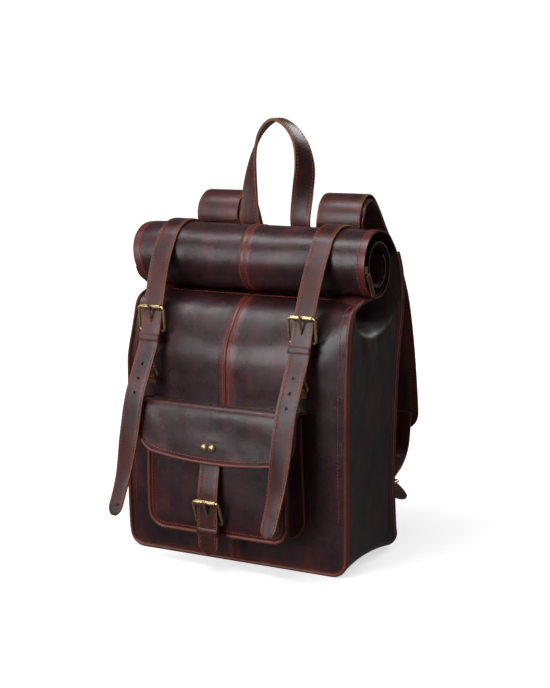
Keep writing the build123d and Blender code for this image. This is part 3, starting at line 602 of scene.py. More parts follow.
def make_front_panel(name, side):
    """Half of the front, lapped over the centre seam and curving back under the roll."""
    shares = np.concatenate([[0, 0.006, 0.016, 0.026, 0.038], np.linspace(0.07, 1, 46)])
    rows = len(front_middle)
    surface = np.zeros((rows, len(shares), 3))
    half = np.maximum(rounded_half_width(front_middle[:, 1], INSET + 1), 2)
    for j, share in enumerate(shares):
        k = front_bulge(share)
        surface[:, j, 0] = side * share * half
        surface[:, j, 1:] = front_middle * (1 - k) + front_edge * k
    distance = np.abs(surface[..., 0])
    lap = smoothstep((6.6 - distance) / 1.4) * 0.9 - 0.9 * smoothstep((0.9 - distance) / 0.9)
    fullness = rough(surface, 60, 2.0) * 1.2 + rough(surface, 24, 5.0) * 0.35
    away = smoothstep((half_width(100) - distance) / 14) * smoothstep(distance / 12)
    surface[..., 1] -= lap + fullness * away
    edge = rounded_half_width(surface[..., 2], INSET + 1)
    wear = 0.85 * np.exp(-(edge - distance) / 3.0) + 0.7 * smoothstep((7.6 - distance) / 2.0)
    wear = np.clip(wear + 0.5 * np.exp(-(surface[..., 2] - 4) / 3.0), 0, 1)
    piece = Piece(name, BODY_LEATHER, DARK_EDGE, THREAD)
    add_shell(piece, surface, 2.2, (0, 1, 0), wear)

    beside_seam = 3
    add_stitches(piece, even(surface[2:, beside_seam], 2) + (0, -0.25, 0), (0, -0.8, 0.6), 2)
    beside_edge = range(8, rows - 6)
    columns = [np.searchsorted(distance[i], edge[i, 0] - 6.5) - 1 for i in beside_edge]
    line = surface[list(beside_edge), columns]
    add_stitches(piece, even(line, 2) + (0, -0.2, 0), (0, -1, 0.05), 2, radius=0.42)
    below_roll = int(np.argmin(np.abs(front_middle[:, 0] + 27)))
    add_stitches(piece, even(surface[below_roll, 2:-2], 2) + (0, 0, 0.2), (0, -0.2, 1), 2)
    piece.make("root", name, lean=slouch)


def outline_run(edge_line, inset, z_low):
    """Points round the bag's edge, from the top right, round the base, to the top left."""
    corner = CORNER - inset
    side_line = edge_line[edge_line[:, 1] > z_low + corner + 1]
    right = np.column_stack([half_width(side_line[:, 1]) - inset, side_line])
    base_y = edge_line[0, 0]
    centre_x = HALF_WIDTH - CORNER
    bend = np.insert(arc((centre_x, z_low + corner), corner, 0, -90, 8), 1, base_y, axis=1)
    base = [(x, base_y, z_low) for x in np.linspace(centre_x - 6, 0, 20)]
    half = np.vstack([right[::-1], bend, base])
    mirror = (half * (-1, 1, 1))[::-1]
    return even(np.vstack([half, mirror[1:]]), 3)


def make_piping(name, edge_line, out):
    """A bead round the panel's edge, and the strip that holds it against the gusset."""
    piece = Piece(name, PIPING_LEATHER, THREAD)
    add_tube(piece, outline_run(edge_line, BEAD_RADIUS, 2.4) + (0, out, 0), BEAD_RADIUS, wear=0.35)
    strip = outline_run(edge_line, 1.4, 1.9) - (0, out * 3.4, 0)
    add_strap(piece, strip, (0, 1, 0), np.array([(-1.6, 0.5), (1.6, 0.5), (1.6, -0.5), (-1.6, -0.5)]), set())
    piece.make("root", "body_piping", lean=slouch)


def hollow_depth(t, z):
    """How far the gusset is folded in: under the roll's end it sinks into a hollow with a curved lip."""
    lip = 272 + 40 * np.abs(2 * t - 1) ** 2.2
    fold = smoothstep((z - lip) / 30) * 40 * (1 - np.abs(2 * t - 1) ** 3)
    slack = 3.2 * (1 - (2 * t - 1) ** 2) * smoothstep((z - 20) / 60)
    return fold + slack


def gusset_rows():
    """For each row across the gusset: its front end, its back end, the way it bows (X, Z) and how far."""
    centre_x = HALF_WIDTH - CORNER
    corner = CORNER - 1
    low_front, low_back = front_edge[0, 0] + 2.5, back_edge[0, 0] - 2.5
    rows = []
    for share in (0, 0.25, 0.5, 0.75):
        x = centre_x - 16 * (1 - share)
        rows.append(((x, low_front, 1), (x, low_back, 1), (0, 1), 3 + 2 * share))
    for angle in np.radians(np.linspace(-90, 0, 14)):
        x = centre_x + corner * math.cos(angle)
        z = 1 + corner + corner * math.sin(angle)
        rows.append(((x, low_front, z), (x, low_back, z), (-math.cos(angle), -math.sin(angle)), 5))
    for (front, front_z), (back, back_z) in zip(front_edge, back_edge):
        if front_z > corner + 2.5:
            front_end = (half_width(front_z) - 1, front + 2.5, front_z)
            back_end = (half_width(back_z) - 1, back - 2.5, back_z)
            rows.append((front_end, back_end, (-1, 0), 5 * (1 - smoothstep((front_z - 20) / 60))))
    return rows


def make_side_gusset(name, side):
    """A side of the bag, from under the base to under the roll's end, where it folds in and crumples."""
    t = np.linspace(0, 1, 50)
    rows = gusset_rows()
    surface = np.zeros((len(rows), len(t), 3))
    for r, (front, back, inward, arch) in enumerate(rows):
        line = np.array(front) + np.outer(t, np.subtract(back, front))
        bow = arch * (1 - (2 * t - 1) ** 2)
        if inward == (-1, 0):
            bow = bow + hollow_depth(t, line[:, 2])
        surface[r] = line + np.outer(bow, (inward[0], 0, inward[1]))
    roll = np.array([ROLL_Y, ROLL_Z])
    away = surface[..., 1:] - roll
    distance = np.linalg.norm(away, axis=-1, keepdims=True)
    keep_off = ROLL_RADIUS + 1.5
    pushed = roll + away / np.maximum(distance, 1) * keep_off
    surface[..., 1:] = np.where(distance < keep_off, pushed, surface[..., 1:])
    middle = np.sin(np.pi * t)
    surface[..., 0] += rough(surface, 45, 7.0) * 1.6 * smoothstep((surface[..., 2] - 15) / 30) * middle
    crumple = smoothstep((surface[..., 2] - 215) / 50) * middle
    surface[..., 0] += rough(surface * (1, 1, 0.55), 17, 3.0) * 2.6 * crumple
    near = np.minimum(t, 1 - t) * 135
    wear = 0.8 * np.exp(-near / 3.5)[None] + 0.21 * smoothstep((surface[..., 2] - 285) / 30)
    surface[..., 0] *= side
    piece = Piece(name, GUSSET_LEATHER, DARK_EDGE, THREAD)
    add_shell(piece, surface, 2.2, (-side, 0, 0), np.clip(wear, 0, 1))
    for column in (3, len(t) - 4):
        line = surface[18:-6, column] + (side * 0.25, 0, 0)
        add_stitches(piece, even(line, 2), (side, 0, 0), 2, radius=0.42)
    piece.make("root", "side_gussets", lean=slouch)


def make_base():
    x = np.linspace(-117, 117, 60)
    t = np.linspace(0, 1, 50)
    grid_x, grid_t = np.meshgrid(x, t, indexing="ij")
    end = (np.abs(grid_x) / 117) ** 6
    z = 1.0 + (1.2 + 1.8 * end) * (1 - (2 * grid_t - 1) ** 2)
    panel = Piece("base_panel", GUSSET_LEATHER, DARK_EDGE)
    add_shell(panel, np.stack([grid_x, -67.5 + 134 * grid_t, z], -1), 2.2, (0, 0, 1), 0.35)
    panel.make("root", "base_panel")

    u, v = np.meshgrid(np.linspace(-1, 1, 30), np.linspace(-1, 1, 30), indexing="ij")
    rounded = [u * 112 * (1 - 0.012 * v**8), v * 60 * (1 - 0.02 * u**8), np.full_like(u, 9.5)]
    board = Piece("base_board", LINING, DARK_EDGE)
    add_shell(board, np.stack(rounded, -1), 2, (0, 0, -1))
    board.make("root", "base_board")


ROLL_HALF = 157.6
ROLL_HEM = 9.0
BEFORE_TOP = 62
BACK_LINE = [(69, 4), (60, 50), (55.8, 95), (56.3, 160), (58.4, 225), (65.5, 262), (70, 292), (70.5, 320)]


def roll_path():
    """The leather's outer face in the side view: up the back, over the top and round into the roll."""
    turns = [
        dense_curve(BACK_LINE, 10),
        arc(BACK_CENTRE, BACK_RADIUS, 0, 90, 3)[1:],
        arc((ROLL_Y, ROLL_Z), ROLL_RADIUS, 90, 270)[1:],
        arc(OUTER_TURN, 34.25, 270, 450)[1:],
        arc((ROLL_Y, ROLL_Z), 28.1, 90, 270)[1:],
        arc(INNER_TURN, 22.1, 270, 415)[1:],
    ]
    return even(np.vstack(turns), 3.2)


def make_back_and_roll():
    """The back panel and the rolled mouth, which are one sheet of leather."""
    path = roll_path()
    s = lengths(path)
    top = s[np.argmin(np.abs(path[:, 0] - ROLL_Y) + np.abs(path[:, 1] - (ROLL_Z + ROLL_RADIUS)))]
    side_shares = np.linspace(0.075, 1, 38)
    shares = np.concatenate([-side_shares[::-1], np.linspace(-0.06, 0.06, 15), side_shares])
    tangent = unit(np.gradient(path, axis=0))
    outward = np.stack([tangent[:, 1], -tangent[:, 0]], 1)
    onto_roll = smoothstep((s - top + BEFORE_TOP) / 50)
    low_half = np.maximum(rounded_half_width(path[:, 1], INSET + 1), 2)
    high_half = (half_width(path[:, 1]) - INSET - 1) * (1 - onto_roll) + ROLL_HALF * onto_roll
    half = np.where(s < top - BEFORE_TOP, low_half, high_half)
    surface = np.zeros((len(path), len(shares), 3))
    surface[..., 0] = shares[None] * half[:, None]
    surface[..., 1:] = path[:, None]
    s, onto_roll = s[:, None], onto_roll[:, None]
    surface[..., 0] += 11 * smoothstep((s - top - 25) / 85) * np.clip(-shares[None], 0, 1) ** 2
    x = surface[..., 0]
    lumps = 0.5 + 0.5 * rough(surface, 38, 11.0)
    under_strap = np.exp(-((np.abs(x) - STRAP_X) / 15) ** 4)
    sink = onto_roll * (0.3 + 1.5 * lumps * (1 - under_strap))
    seam = 0.48 * smoothstep((6.6 - np.abs(x)) / 1.4) - 0.48 * smoothstep((0.8 - np.abs(x)) / 0.8)
    inward = (1 - np.abs(shares[None])) * half[:, None]
    first_turn = smoothstep((top + 128 - s) / 10)
    hem = 0.6 * smoothstep((ROLL_HEM - 1 - inward) / 1.2) * onto_roll * first_turn
    surface[..., 1:] += outward[:, None] * (hem + seam - sink)[..., None]
    droop = onto_roll * np.clip((-x - 118) / 40, 0, 1) ** 2
    surface[..., 2] -= 3.5 * droop * smoothstep((s - top + 40) / 60)
    wear = 0.85 * smoothstep((ROLL_HEM + 0.1 - inward) / 1.5) * onto_roll * first_turn
    wear = np.maximum(wear, 0.7 * smoothstep((7.6 - np.abs(x)) / 2.0))
    wear = np.maximum(wear, 0.8 * np.exp(-inward / 3) * first_turn)
    piece = Piece("back_panel_and_roll", BODY_LEATHER, DARK_EDGE, THREAD)
    add_shell(piece, surface, 2.3, (0, -1, 0), wear)

    hem_share = 1 - ROLL_HEM / ROLL_HALF
    for share, first, last, radius in (
        (-4.2 / 155, 0, top + 120, 0.5), (4.2 / 155, 0, top + 120, 0.5),
        (-hem_share, top - 25, top + 118, 0.44), (hem_share, top - 25, top + 118, 0.44),
    ):
        rows = range(*np.searchsorted(s[:, 0], (first, last)))
        line = np.array([[np.interp(share, shares, surface[i, :, k]) for k in range(3)] for i in rows])
        facing = at_x(outward[rows], 0)
        add_stitches(piece, line + facing * 0.22, facing, 2, radius=radius)
    made = piece.make("root", "back_panel", "roll_top", slot="roll_top")
    for face in made.data.polygons:
        from_axis = math.hypot(face.center.y / MM - ROLL_Y, face.center.z / MM - ROLL_Z)
        if face.material_index == 1 and from_axis < ROLL_RADIUS - 3.2:
            face.material_index = 0


def make_rolled_layer():
    """The front panel's own layer, rolled up inside the back's."""
    turns = [
        arc((ROLL_Y, ROLL_Z), 36.6, 205, 270),
        arc(OUTER_TURN, 30.4, 270, 450)[1:],
        arc((ROLL_Y, ROLL_Z), 24.4, 90, 270)[1:],
        arc(INNER_TURN, 18.3, 270, 420)[1:],
    ]
    path = even(np.vstack(turns), 4)
    surface = across(path, np.linspace(-155, 155, 50))
    surface[..., 1:] += (rough(surface, 20, 4.0) * 0.8)[..., None]
    piece = Piece("rolled_front_layer", GUSSET_LEATHER, DARK_EDGE)
    inward = (0, 1, 0) if path[len(path) // 2, 0] < ROLL_Y else (0, -1, 0)
    add_shell(piece, surface, 1.6, inward, 0.4)
    piece.make("root", slot="roll_top")


STRAP_X = 101
for name, side in (("left", -1), ("right", 1)):
    make_front_panel(f"front_panel_{name}", side)
make_piping("front_piping", front_edge, -1)
make_piping("back_piping", back_edge, 1)
for name, side in (("left", -1), ("right", 1)):
    make_side_gusset(f"side_gusset_{name}", side)
make_base()
make_back_and_roll()
make_rolled_layer()

# ---------------------------------------------------------------- front pocket

POCKET_HALF = 95
POCKET_LOW = 42
POCKET_TOP = 188
POCKET_CORNER = 22
pocket_face = dense_curve([(-113.6, 42), (-115.2, 62), (-116.4, 100), (-115.6, 145), (-113.4, 188)], 10)


def pocket_depth(z):
    """Y of the pocket's face at a height."""
    return np.interp(z, pocket_face[:, 1], pocket_face[:, 0])


def pocket_half(z, inset):
    def straight(height):
        return np.full(np.shape(height), POCKET_HALF, float)

    return rounded_half_width(z, inset, POCKET_LOW, POCKET_CORNER, straight)


def pocket_run(inset):
    """Points round the pocket's outline from its top left to its top right, in X and Z."""
    corner = POCKET_CORNER - inset
    half = POCKET_HALF - inset
    low = POCKET_LOW + inset
    side_z = np.linspace(POCKET_TOP, low + corner, 40)
    left = np.column_stack([np.full(40, -half), np.zeros(40), side_z])
    bend = np.insert(arc((corner - half, low + corner), corner, 180, 270, 6.9), 1, 0, axis=1)
    run = np.vstack([left[:-1], bend])
    mirror = (run * (-1, 1, 1))[::-1]
    return even(np.vstack([run, mirror]), 2.5)


def on_pocket(inset, lift):
    """The same outline laid on the pocket's face."""
    run = pocket_run(inset)
    return np.column_stack([run[:, 0], pocket_depth(run[:, 2]) + lift, run[:, 2]])


def make_pocket_face():
    round_corner = POCKET_LOW + 2.5 + 20 * (1 - np.cos(np.linspace(0, math.pi / 2, 16)))
    z = np.concatenate([round_corner, np.linspace(66, POCKET_TOP, 40)])
    shares = np.linspace(-1, 1, 70)
    half = pocket_half(z, 2.2)[:, None]
    surface = np.zeros((len(z), len(shares), 3))
    surface[..., 0] = shares * half
    surface[..., 1] = pocket_depth(z)[:, None]
    surface[..., 2] = z[:, None]
    distance = np.minimum(half - np.abs(surface[..., 0]), surface[..., 2] - POCKET_LOW - 2.5)
    from_edge = np.clip(distance, 0, 60)
    surface[..., 1] += 2.5 * np.exp(-from_edge / 6)
    surface[..., 1] -= rough(surface, 40, 21.0) * 0.7 * smoothstep(distance / 12)
    piece = Piece("pocket_front_panel", BODY_LEATHER, DARK_EDGE, THREAD)
    add_shell(piece, surface, 2.2, (0, 1, 0), 0.9 * np.exp(-from_edge / 3.2))
    add_stitches(piece, on_pocket(7.2, 0.45), (0, -1, 0), 2, radius=0.44)
    piece.make("root", "pocket_front_panel")


def make_pocket_gusset():
    run = pocket_run(0.6)
    t = np.linspace(0, 1, 18)
    outward = unit(np.cross(np.gradient(run, axis=0), (0, 1, 0)))
    if outward[0, 0] > 0:
        outward = -outward
    front = pocket_depth(run[:, 2]) + 3.2
    rear = front_y(run[:, 0], run[:, 2]) - 0.6
    surface = run[:, None] + np.zeros((1, len(t), 3))
    surface[..., 1] = front[:, None] + (rear - front)[:, None] * t
    pinch = (2.2 + rough(surface, 26, 9.0) * 1.1) * np.sin(np.pi * t)
    surface -= outward[:, None] * pinch[..., None]
    wear = 0.8 * np.exp(-np.minimum(t, 1 - t) * 38 / 3)[None] * np.ones((len(run), 1))
    piece = Piece("pocket_gusset", GUSSET_LEATHER, DARK_EDGE, THREAD)
    add_shell(piece, surface, 2.0, (1, 0, 0), wear)
    piece.make("root", "pocket_gusset")


def make_pocket_piping():
    """A bead round the pocket's face, and one where its gusset meets the front."""
    piece = Piece("pocket_piping", PIPING_LEATHER)
    add_tube(piece, on_pocket(1.8, 1.6), 2.1, wear=0.4)
    run = pocket_run(-1.0)
    run[:, 1] = front_y(run[:, 0], run[:, 2]) - 1.4
    add_tube(piece, run, 1.9, wear=0.3)
    piece.make("root", "pocket_piping")


make_pocket_face()
make_pocket_gusset()
make_pocket_piping()

FLAP_HALF = 105
FLAP_LOW = 130
FLAP_SIDE_LOW = 140
FLAP_CORNER = 22
FLAP_SEAM = 196.2
FLAP_BEND_END = 190
FLAP_FACE = [
    (-96, 196.8), (-108, 198.4), (-115, 195.5), (-118.8, 187), (-121, 168), (-122.7, 150), (-123.4, 128),
]


def flap_low(x):
    """Height of the flap's lower edge, which is bowed and has round corners."""
    x = np.abs(x)
    bow = FLAP_LOW + (FLAP_SIDE_LOW - FLAP_LOW) * (x / FLAP_HALF) ** 2
    into = np.clip(x - (FLAP_HALF - FLAP_CORNER), 0, FLAP_CORNER - 0.05)
    return bow + FLAP_CORNER - np.sqrt(FLAP_CORNER**2 - into**2)


def flap_line(x):
    """The flap's face at one X, from the seam on the front panel to its lower edge."""
    seam = (float(front_y(x, FLAP_SEAM)) - 0.6, FLAP_SEAM)
    ease = (abs(x) / FLAP_HALF) ** 4
    return dense_curve([seam, *[(y + 2.2 * ease, z - 1.2 * ease) for y, z in FLAP_FACE]], 12)


def flap_columns(half, count, first=0.0):
    """X across the flap, closer together round its corners."""
    turn = np.linspace(0, math.pi / 2 - first, 12)
    right = half - FLAP_CORNER + FLAP_CORNER * np.sin(turn)[1:]
    middle = np.linspace(-half + FLAP_CORNER, half - FLAP_CORNER, count)
    return np.concatenate([-right[::-1], middle, right])


def flap_edge(inset, start):
    """Points along the flap's edge: down its left side, along the bottom and up its right side."""
    half = FLAP_HALF - inset
    bottom = []
    for x in flap_columns(half, 60, 0.15):
        line = flap_line(x)
        line = line[np.argmax(line[:, 1] < FLAP_BEND_END):]
        z = flap_low(x * FLAP_HALF / half) + inset
        bottom.append((x, np.interp(-z, -line[:, 1], line[:, 0]), z))
    left = flap_line(-half)[start:]
    left = at_x(left[left[:, 1] > bottom[0][2] + 1.5], -half)
    return even(np.vstack([left, bottom, (left * (-1, 1, 1))[::-1]]), 2.2)


def make_flap():
    rows = 46
    xs = flap_columns(FLAP_HALF, 50)
    xs = xs - 1.2 * np.sign(xs) * (np.abs(xs) > FLAP_HALF - FLAP_CORNER + 0.1)
    surface = np.zeros((rows, len(xs), 3))
    for j, x in enumerate(xs):
        line = flap_line(x)
        s = lengths(line)
        after = np.argmax(line[:, 1] < FLAP_BEND_END)
        end = np.interp(-flap_low(x) - 1.6, -line[after:, 1], s[after:])
        surface[:, j, 0] = x
        surface[:, j, 1:] = at_lengths(line, np.linspace(0, end, rows))
    above_edge = np.clip(surface[..., 2] - flap_low(surface[..., 0]), 0, 99)
    distance = np.minimum(FLAP_HALF - np.abs(surface[..., 0]), above_edge)
    full = (rough(surface, 45, 31.0) * 1.3 + rough(surface, 19, 8.0) * 0.45) * smoothstep(distance / 14)
    surface[..., 1] -= full * smoothstep((200 - surface[..., 2]) / 15)
    wear = 0.8 * np.exp(-distance / 3.0) + 0.25 * np.exp(-((surface[..., 2] - 196) / 3.5) ** 2)
    face = Piece("pocket_flap", BODY_LEATHER, DARK_EDGE, THREAD)
    add_shell(face, surface, 2.1, (0, 1, 0), np.clip(wear, 0, 1))
    add_stitches(face, flap_edge(6.2, 40) + (0, -0.15, 0), (0, -1, 0), 2, radius=0.44)
    binding = Piece("pocket_flap_binding", PIPING_LEATHER)
    add_tube(binding, flap_edge(0.9, 4) + (0, 1.0, 0), 2.0, wear=0.45)
    for piece, node in ((face, "pocket_flap"), (binding, "pocket_flap_binding")):
        piece = piece.make(None, node)
        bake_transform(piece)


make_flap()

# ---------------------------------------------------------------- straps, buckles and keepers

STRAP_WIDTH = 26
STRAP_THICK = 2.8
CLOSING_AT = np.array([0, -89.2, 304.0])
CLOSING_END = np.array([0, -101.0, 258.0])
POCKET_AT = np.array([0, -126.3, 86.0])
POCKET_STRAP_X = -5
POCKET_STRAP_THICK = 2.4
RING_BAR = (-94.2, 221.2)
HOLE_HEIGHTS = (238, 221.5, 205)
HOLE_RADIUS = 1.9
LEFT_END_OUT = 7
FORWARD = (-1, 0, 0)
SIDEWAYS = (1, 0, 0)


def cut_out(piece, bm):
    """Takes a shape away from a piece."""
    mesh = bpy.data.meshes.new("cutter")
    bm.to_mesh(mesh)
    bm.free()
    cutter = bpy.data.objects.new("cutter", mesh)
    bpy.context.scene.collection.objects.link(cutter)
    cut = piece.modifiers.new("cut", "BOOLEAN")
    cut.operation = "DIFFERENCE"
    cut.solver = "EXACT"
    cut.object = cutter
    shown = piece.evaluated_get(bpy.context.evaluated_depsgraph_get())
    result = bpy.data.meshes.new_from_object(shown)
    piece.modifiers.clear()
    piece.data = result
    bpy.data.objects.remove(cutter)


def punch_holes(piece, centres, radius, direction):
    """Punches round holes through a strap."""
    depth = 8
    bm = bmesh.new()
    turn = Vector(direction).to_track_quat("Z", "Y").to_matrix().to_4x4()
    size = {"radius1": radius * MM, "radius2": radius * MM, "depth": depth * MM}
    for centre in centres:
        for vertex in bmesh.ops.create_cone(bm, cap_ends=True, segments=20, **size)["verts"]:
            vertex.co = turn @ vertex.co + Vector(centre) * MM
    cut_out(piece, bm)


def cut_slot(piece, x, centre, along):
    """Cuts the slot at a buckle's heel bar that its prong passes through."""
    wide, tall = 5.4, 9.4
    bm = bmesh.new()
    bmesh.ops.create_cube(bm, size=1.0)
    tilt = math.atan2(along[1], along[0]) + math.pi / 2
    for vertex in bm.verts:
        px, py, pz = vertex.co.x * wide, vertex.co.y * tall, vertex.co.z * tall
        y = py * math.cos(tilt) - pz * math.sin(tilt) + centre[0]
        z = py * math.sin(tilt) + pz * math.cos(tilt) + centre[1]
        vertex.co = Vector((px + x, y, z)) * MM
    cut_out(piece, bm)


def make_closing_strap(name, x):
    """From its sewn end behind the roll, over the roll and down to the buckle."""
    over = np.vstack([
        arc(BACK_CENTRE, 83.2, 58, 90, 3),
        arc((ROLL_Y, ROLL_Z), 42.2, 90, 140, 4)[1:],
    ])
    down_front = [(-62.5, 359), (-75.5, 334), (-84.5, 313), (-91, 294), (-97.4, 270), (-99.6, 262)]
    front = dense_curve([over[-1], *down_front], 8)[1:]
    path = even(at_x(np.vstack([over, front]), x), 3)
    path[:, 0] += 0.7 * np.sin(lengths(path) / 70)
    if x < 0:
        path[:, 0] -= LEFT_END_OUT * (1 - smoothstep((lengths(path) - 95) / 105))
    piece = Piece(f"closing_strap_{name}")
    sewn_strap(piece, path, FORWARD, STRAP_WIDTH, STRAP_THICK, 6, 22)
    strap = piece.make(None, f"closing_strap_{name}", "closing_strap_anchors")
    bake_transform(strap)


def make_tail(name, x):
    """The strap's loose end, with its holes and its round tip, standing off the pocket."""
    slant = 1.35 if x < 0 else 1.0
    drift = [(0, -98.6, 267), (0.4, -101.2, 258), (3, -114.2, 224), (5.8, -122, 196), (9, -127.4, 152)]
    drift += [(12.6, -131, 112), (15, -138, 84), (17, -147, 59)]
    path = curve([(x - slant * shift, y, z) for shift, y, z in drift], 2.6)
    path = tip_path(path, STRAP_WIDTH)
    side = np.array(FORWARD) + np.outer(smoothstep((lengths(path) - 105) / 90), (0, 0.42, 0))
    leather_part = Piece(f"strap_tail_{name}", STRAP_LEATHER, TAN_EDGE)
    section, cut_runs = strap_section(STRAP_WIDTH, STRAP_THICK)
    frame_at = add_strap(leather_part, path, side, section, cut_runs, scale=round_tip(path, STRAP_WIDTH))
    stitches = Piece(f"tail_stitches_{name}", THREAD)
    add_edge_stitches(stitches, path, frame_at, STRAP_WIDTH, STRAP_THICK, first=12, last=11, slot=0)
    tail = leather_part.make(None, f"strap_tail_{name}")
    stitches = stitches.make(None, slot=f"strap_tail_{name}")
    holes = [[np.interp(-z, -path[:, 2], path[:, k]) for k in range(3)] for z in HOLE_HEIGHTS]
    punch_holes(tail, holes, HOLE_RADIUS, (0.05, -0.95, 0.3))
    for part in (tail, stitches):
        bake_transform(part)


def rounded_loop(half_wide, half_deep, corner):
    """A closed loop round a strap, in its own two directions."""
    points = []
    for quarter, (sx, sy) in enumerate(((1, 1), (-1, 1), (-1, -1), (1, -1))):
        for angle in np.radians(np.linspace(0, 90, 6) + 90 * quarter):
            x = sx * (half_wide - corner) + corner * math.cos(angle)
            points.append((x, sy * (half_deep - corner) + corner * math.sin(angle)))
    return even(np.array([*points, points[0]]), 0.9)[:-1]


def make_keeper(node, place, down, out, body):
    """A narrow band of leather right round the strap."""
    loop = rounded_loop(14.35, 2.5, 2.2)
    bow = 0.25 * np.cos(loop[:, :1] / 14 * math.pi / 2)
    path = place + np.outer(loop[:, 0], SIDEWAYS) + (loop[:, 1:] + bow * np.sign(loop[:, 1:])) * out
    half, t = 4.5, 0.75
    top = mirrored([(-half, t - 0.4), (-half + 0.4, t), (-half + 1.2, t - 0.12), (0, t + 0.15)])
    low = mirrored([(half, -t + 0.2), (half - 0.3, -t), (0, -t)])
    piece = Piece(node, KEEPER_LEATHER, DARK_EDGE)
    add_strap(piece, path, down, np.array(top + low), {0, 5, 6, 11}, closed=True)
    piece.make(body, node)


def make_chape(node, x, heel, low, low_radius, widths, body):
    """Leather folded round the buckle's heel bar."""
    heel, low = np.array(heel, float), np.array(low, float)
    along = unit(low - heel)
    across = np.array([-along[1], along[0]])
    heel_radius, pinch = 2.75, 0.85
    reach = np.linalg.norm(low - heel)

    def turn(centre, radius, first, last, count):
        angles = np.radians(np.linspace(first, last, count))
        return centre + radius * (np.outer(np.cos(angles), along) + np.outer(np.sin(angles), across))

    straight = heel + np.outer((heel_radius + 2.2, reach * 0.5, reach - low_radius - 1.6), along)
    round_heel = turn(heel, heel_radius, 30, 330, 16)
    round_low = turn(low, low_radius, -150, 150, 12)
    loop = [round_heel, straight - across * pinch, round_low, straight[::-1] + across * pinch, round_heel[:1]]
    closed = even(np.vstack(loop), 0.9)[:-1]
    share = np.clip(((closed - heel) @ along) / reach, 0, 1)
    width = widths[0] + (widths[1] - widths[0]) * smoothstep((share - 0.35) / 0.4)
    t = 0.7
    top = mirrored([(-0.5, t - 0.3), (-0.47, t), (0, t + 0.05)])
    section = np.array(top + mirrored([(0.5, -t + 0.3), (0.47, -t), (0, -t)]))
    piece = Piece(node)
    add_strap(piece, at_x(closed, x), FORWARD, section, {4, 9}, scale=width, closed=True, wear=0.25)
    cut_slot(piece.make(body, node), x, heel, along)


def make_ring_tab(name, x):
    """A small tab on the bag's front, folded round the D-ring's bar."""
    turn = arc(RING_BAR, 2.15, 20, 235, 19.5)
    line = np.vstack([[(-91.6, 213.4), (-91.8, 218.0)], turn, [(-93.8, 217.6), (-93.3, 213.2)]])
    path = curve(at_x(line, x), 1.0)
    w, t = 5.4, 0.7
    section = np.array([*mirrored([(-w, t - 0.3), (-w + 0.3, t), (0, t)]), (w, -t), (-w, -t)])
    piece = Piece(f"d_ring_tab_{name}")
    add_strap(piece, path, SIDEWAYS, section, {4, 5, 6}, wear=0.3)
    row = np.array([(x - 4, -94.1, 216.2), (x + 4, -94.1, 216.2)])
    add_stitches(piece, row, (0, -1, 0), 2, 2.6, 2.0, 0.3)
    piece.make("root", "d_ring_tabs")


def make_pocket_strap():
    line = [(-120.6, 158), (-120.2, 140), (-120.4, 128), (-123.4, 112), (-126.3, 94), (-126.6, 70)]
    line += [(-126.3, 45), (-124.6, 22)]
    path = tip_path(curve(at_x(line, POCKET_STRAP_X), 2.4), STRAP_WIDTH)
    piece = Piece("pocket_strap")
    sewn_strap(piece, path, FORWARD, STRAP_WIDTH, POCKET_STRAP_THICK, 34, 11, tip=True)
    piece.make("flap", "pocket_strap")
    below_buckle = POCKET_AT + (POCKET_STRAP_X, 0, -36)
    make_keeper("pocket_keeper", below_buckle, (0, 0, -1), np.array([0, -1.0, 0]), "flap")
    make_chape("pocket_chape", POCKET_STRAP_X, (-121.3, 59), (-121.4, 46.6), 1.1, (22, 22), "flap")


def make_rivets():
    """Two domed rivet heads on the flap, each turned from its profile of radius and height."""
    profile = np.array([(0.02, 2.1), (1.4, 2.0), (2.8, 1.55), (3.9, 0.85), (4.4, 0.2), (4.4, -0.3)])
    radius = profile[:, 0]
    piece = Piece("pocket_rivets", BRASS)
    for x in (-11.2, -0.8):
        path = np.array([(x, -123.5 - height, 149) for height in profile[:, 1]])
        sweep(piece, path, path_frame(path, SIDEWAYS), circle(28), scale=radius, lift=radius)
    piece.make("flap", "pocket_rivets")


down = unit(CLOSING_END - CLOSING_AT)
out = np.array([0, down[2], -down[1]])
for name, x in (("left", -STRAP_X), ("right", STRAP_X)):
    make_closing_strap(name, x)
    make_tail(name, x)
    make_keeper(f"strap_keeper_{name}", CLOSING_AT + down * 36 + (x, 0, 0), down, out, f"strap_{name}")
    make_chape(f"strap_chape_{name}", x, (-91.05, 276.6), (-97, 254), 2.25, (22, 10.8), f"strap_{name}")
    make_ring_tab(name, x)
make_pocket_strap()
make_rivets()

# ---------------------------------------------------------------- handle and shoulder straps

HANDLE_THICK = 3.6
HANDLE_POINTS = [
    (-34, 58.6, 367.8), (-34.4, 50, 377.6), (-34.8, 40, 386.6), (-35.2, 33.4, 394), (-35.8, 31.2, 404),
    (-36, 31, 425), (-34.6, 31, 452), (-30, 31, 482), (-20, 31, 509), (-2, 31, 524.5), (17, 31, 519),
    (33, 31, 499), (39.6, 31, 470), (37.4, 31, 440), (34.6, 31, 415), (33.8, 31.2, 404),
    (33.8, 33.4, 394), (34, 40, 386.6), (34, 50, 377.6), (34, 58.6, 367.8),
]


def make_handle():
    """A strap sewn down behind the roll at both ends, with half a turn of twist along its loop."""
    path = curve(HANDLE_POINTS, 3)
    s = lengths(path)
    top = s[np.argmax(path[:, 2])]
    angle = -math.pi / 2 * (smoothstep((s - top + 160) / 185) + smoothstep((s - top - 10) / 140))
    side = np.stack([np.cos(angle), np.sin(angle), np.zeros(len(s))], 1)
    piece = Piece("top_handle")
    sewn_strap(piece, path, side, STRAP_WIDTH, HANDLE_THICK, 5, 5, faces=(1, -1))
    handle = piece.make(None, "top_handle", "handle_ends")
    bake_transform(handle)


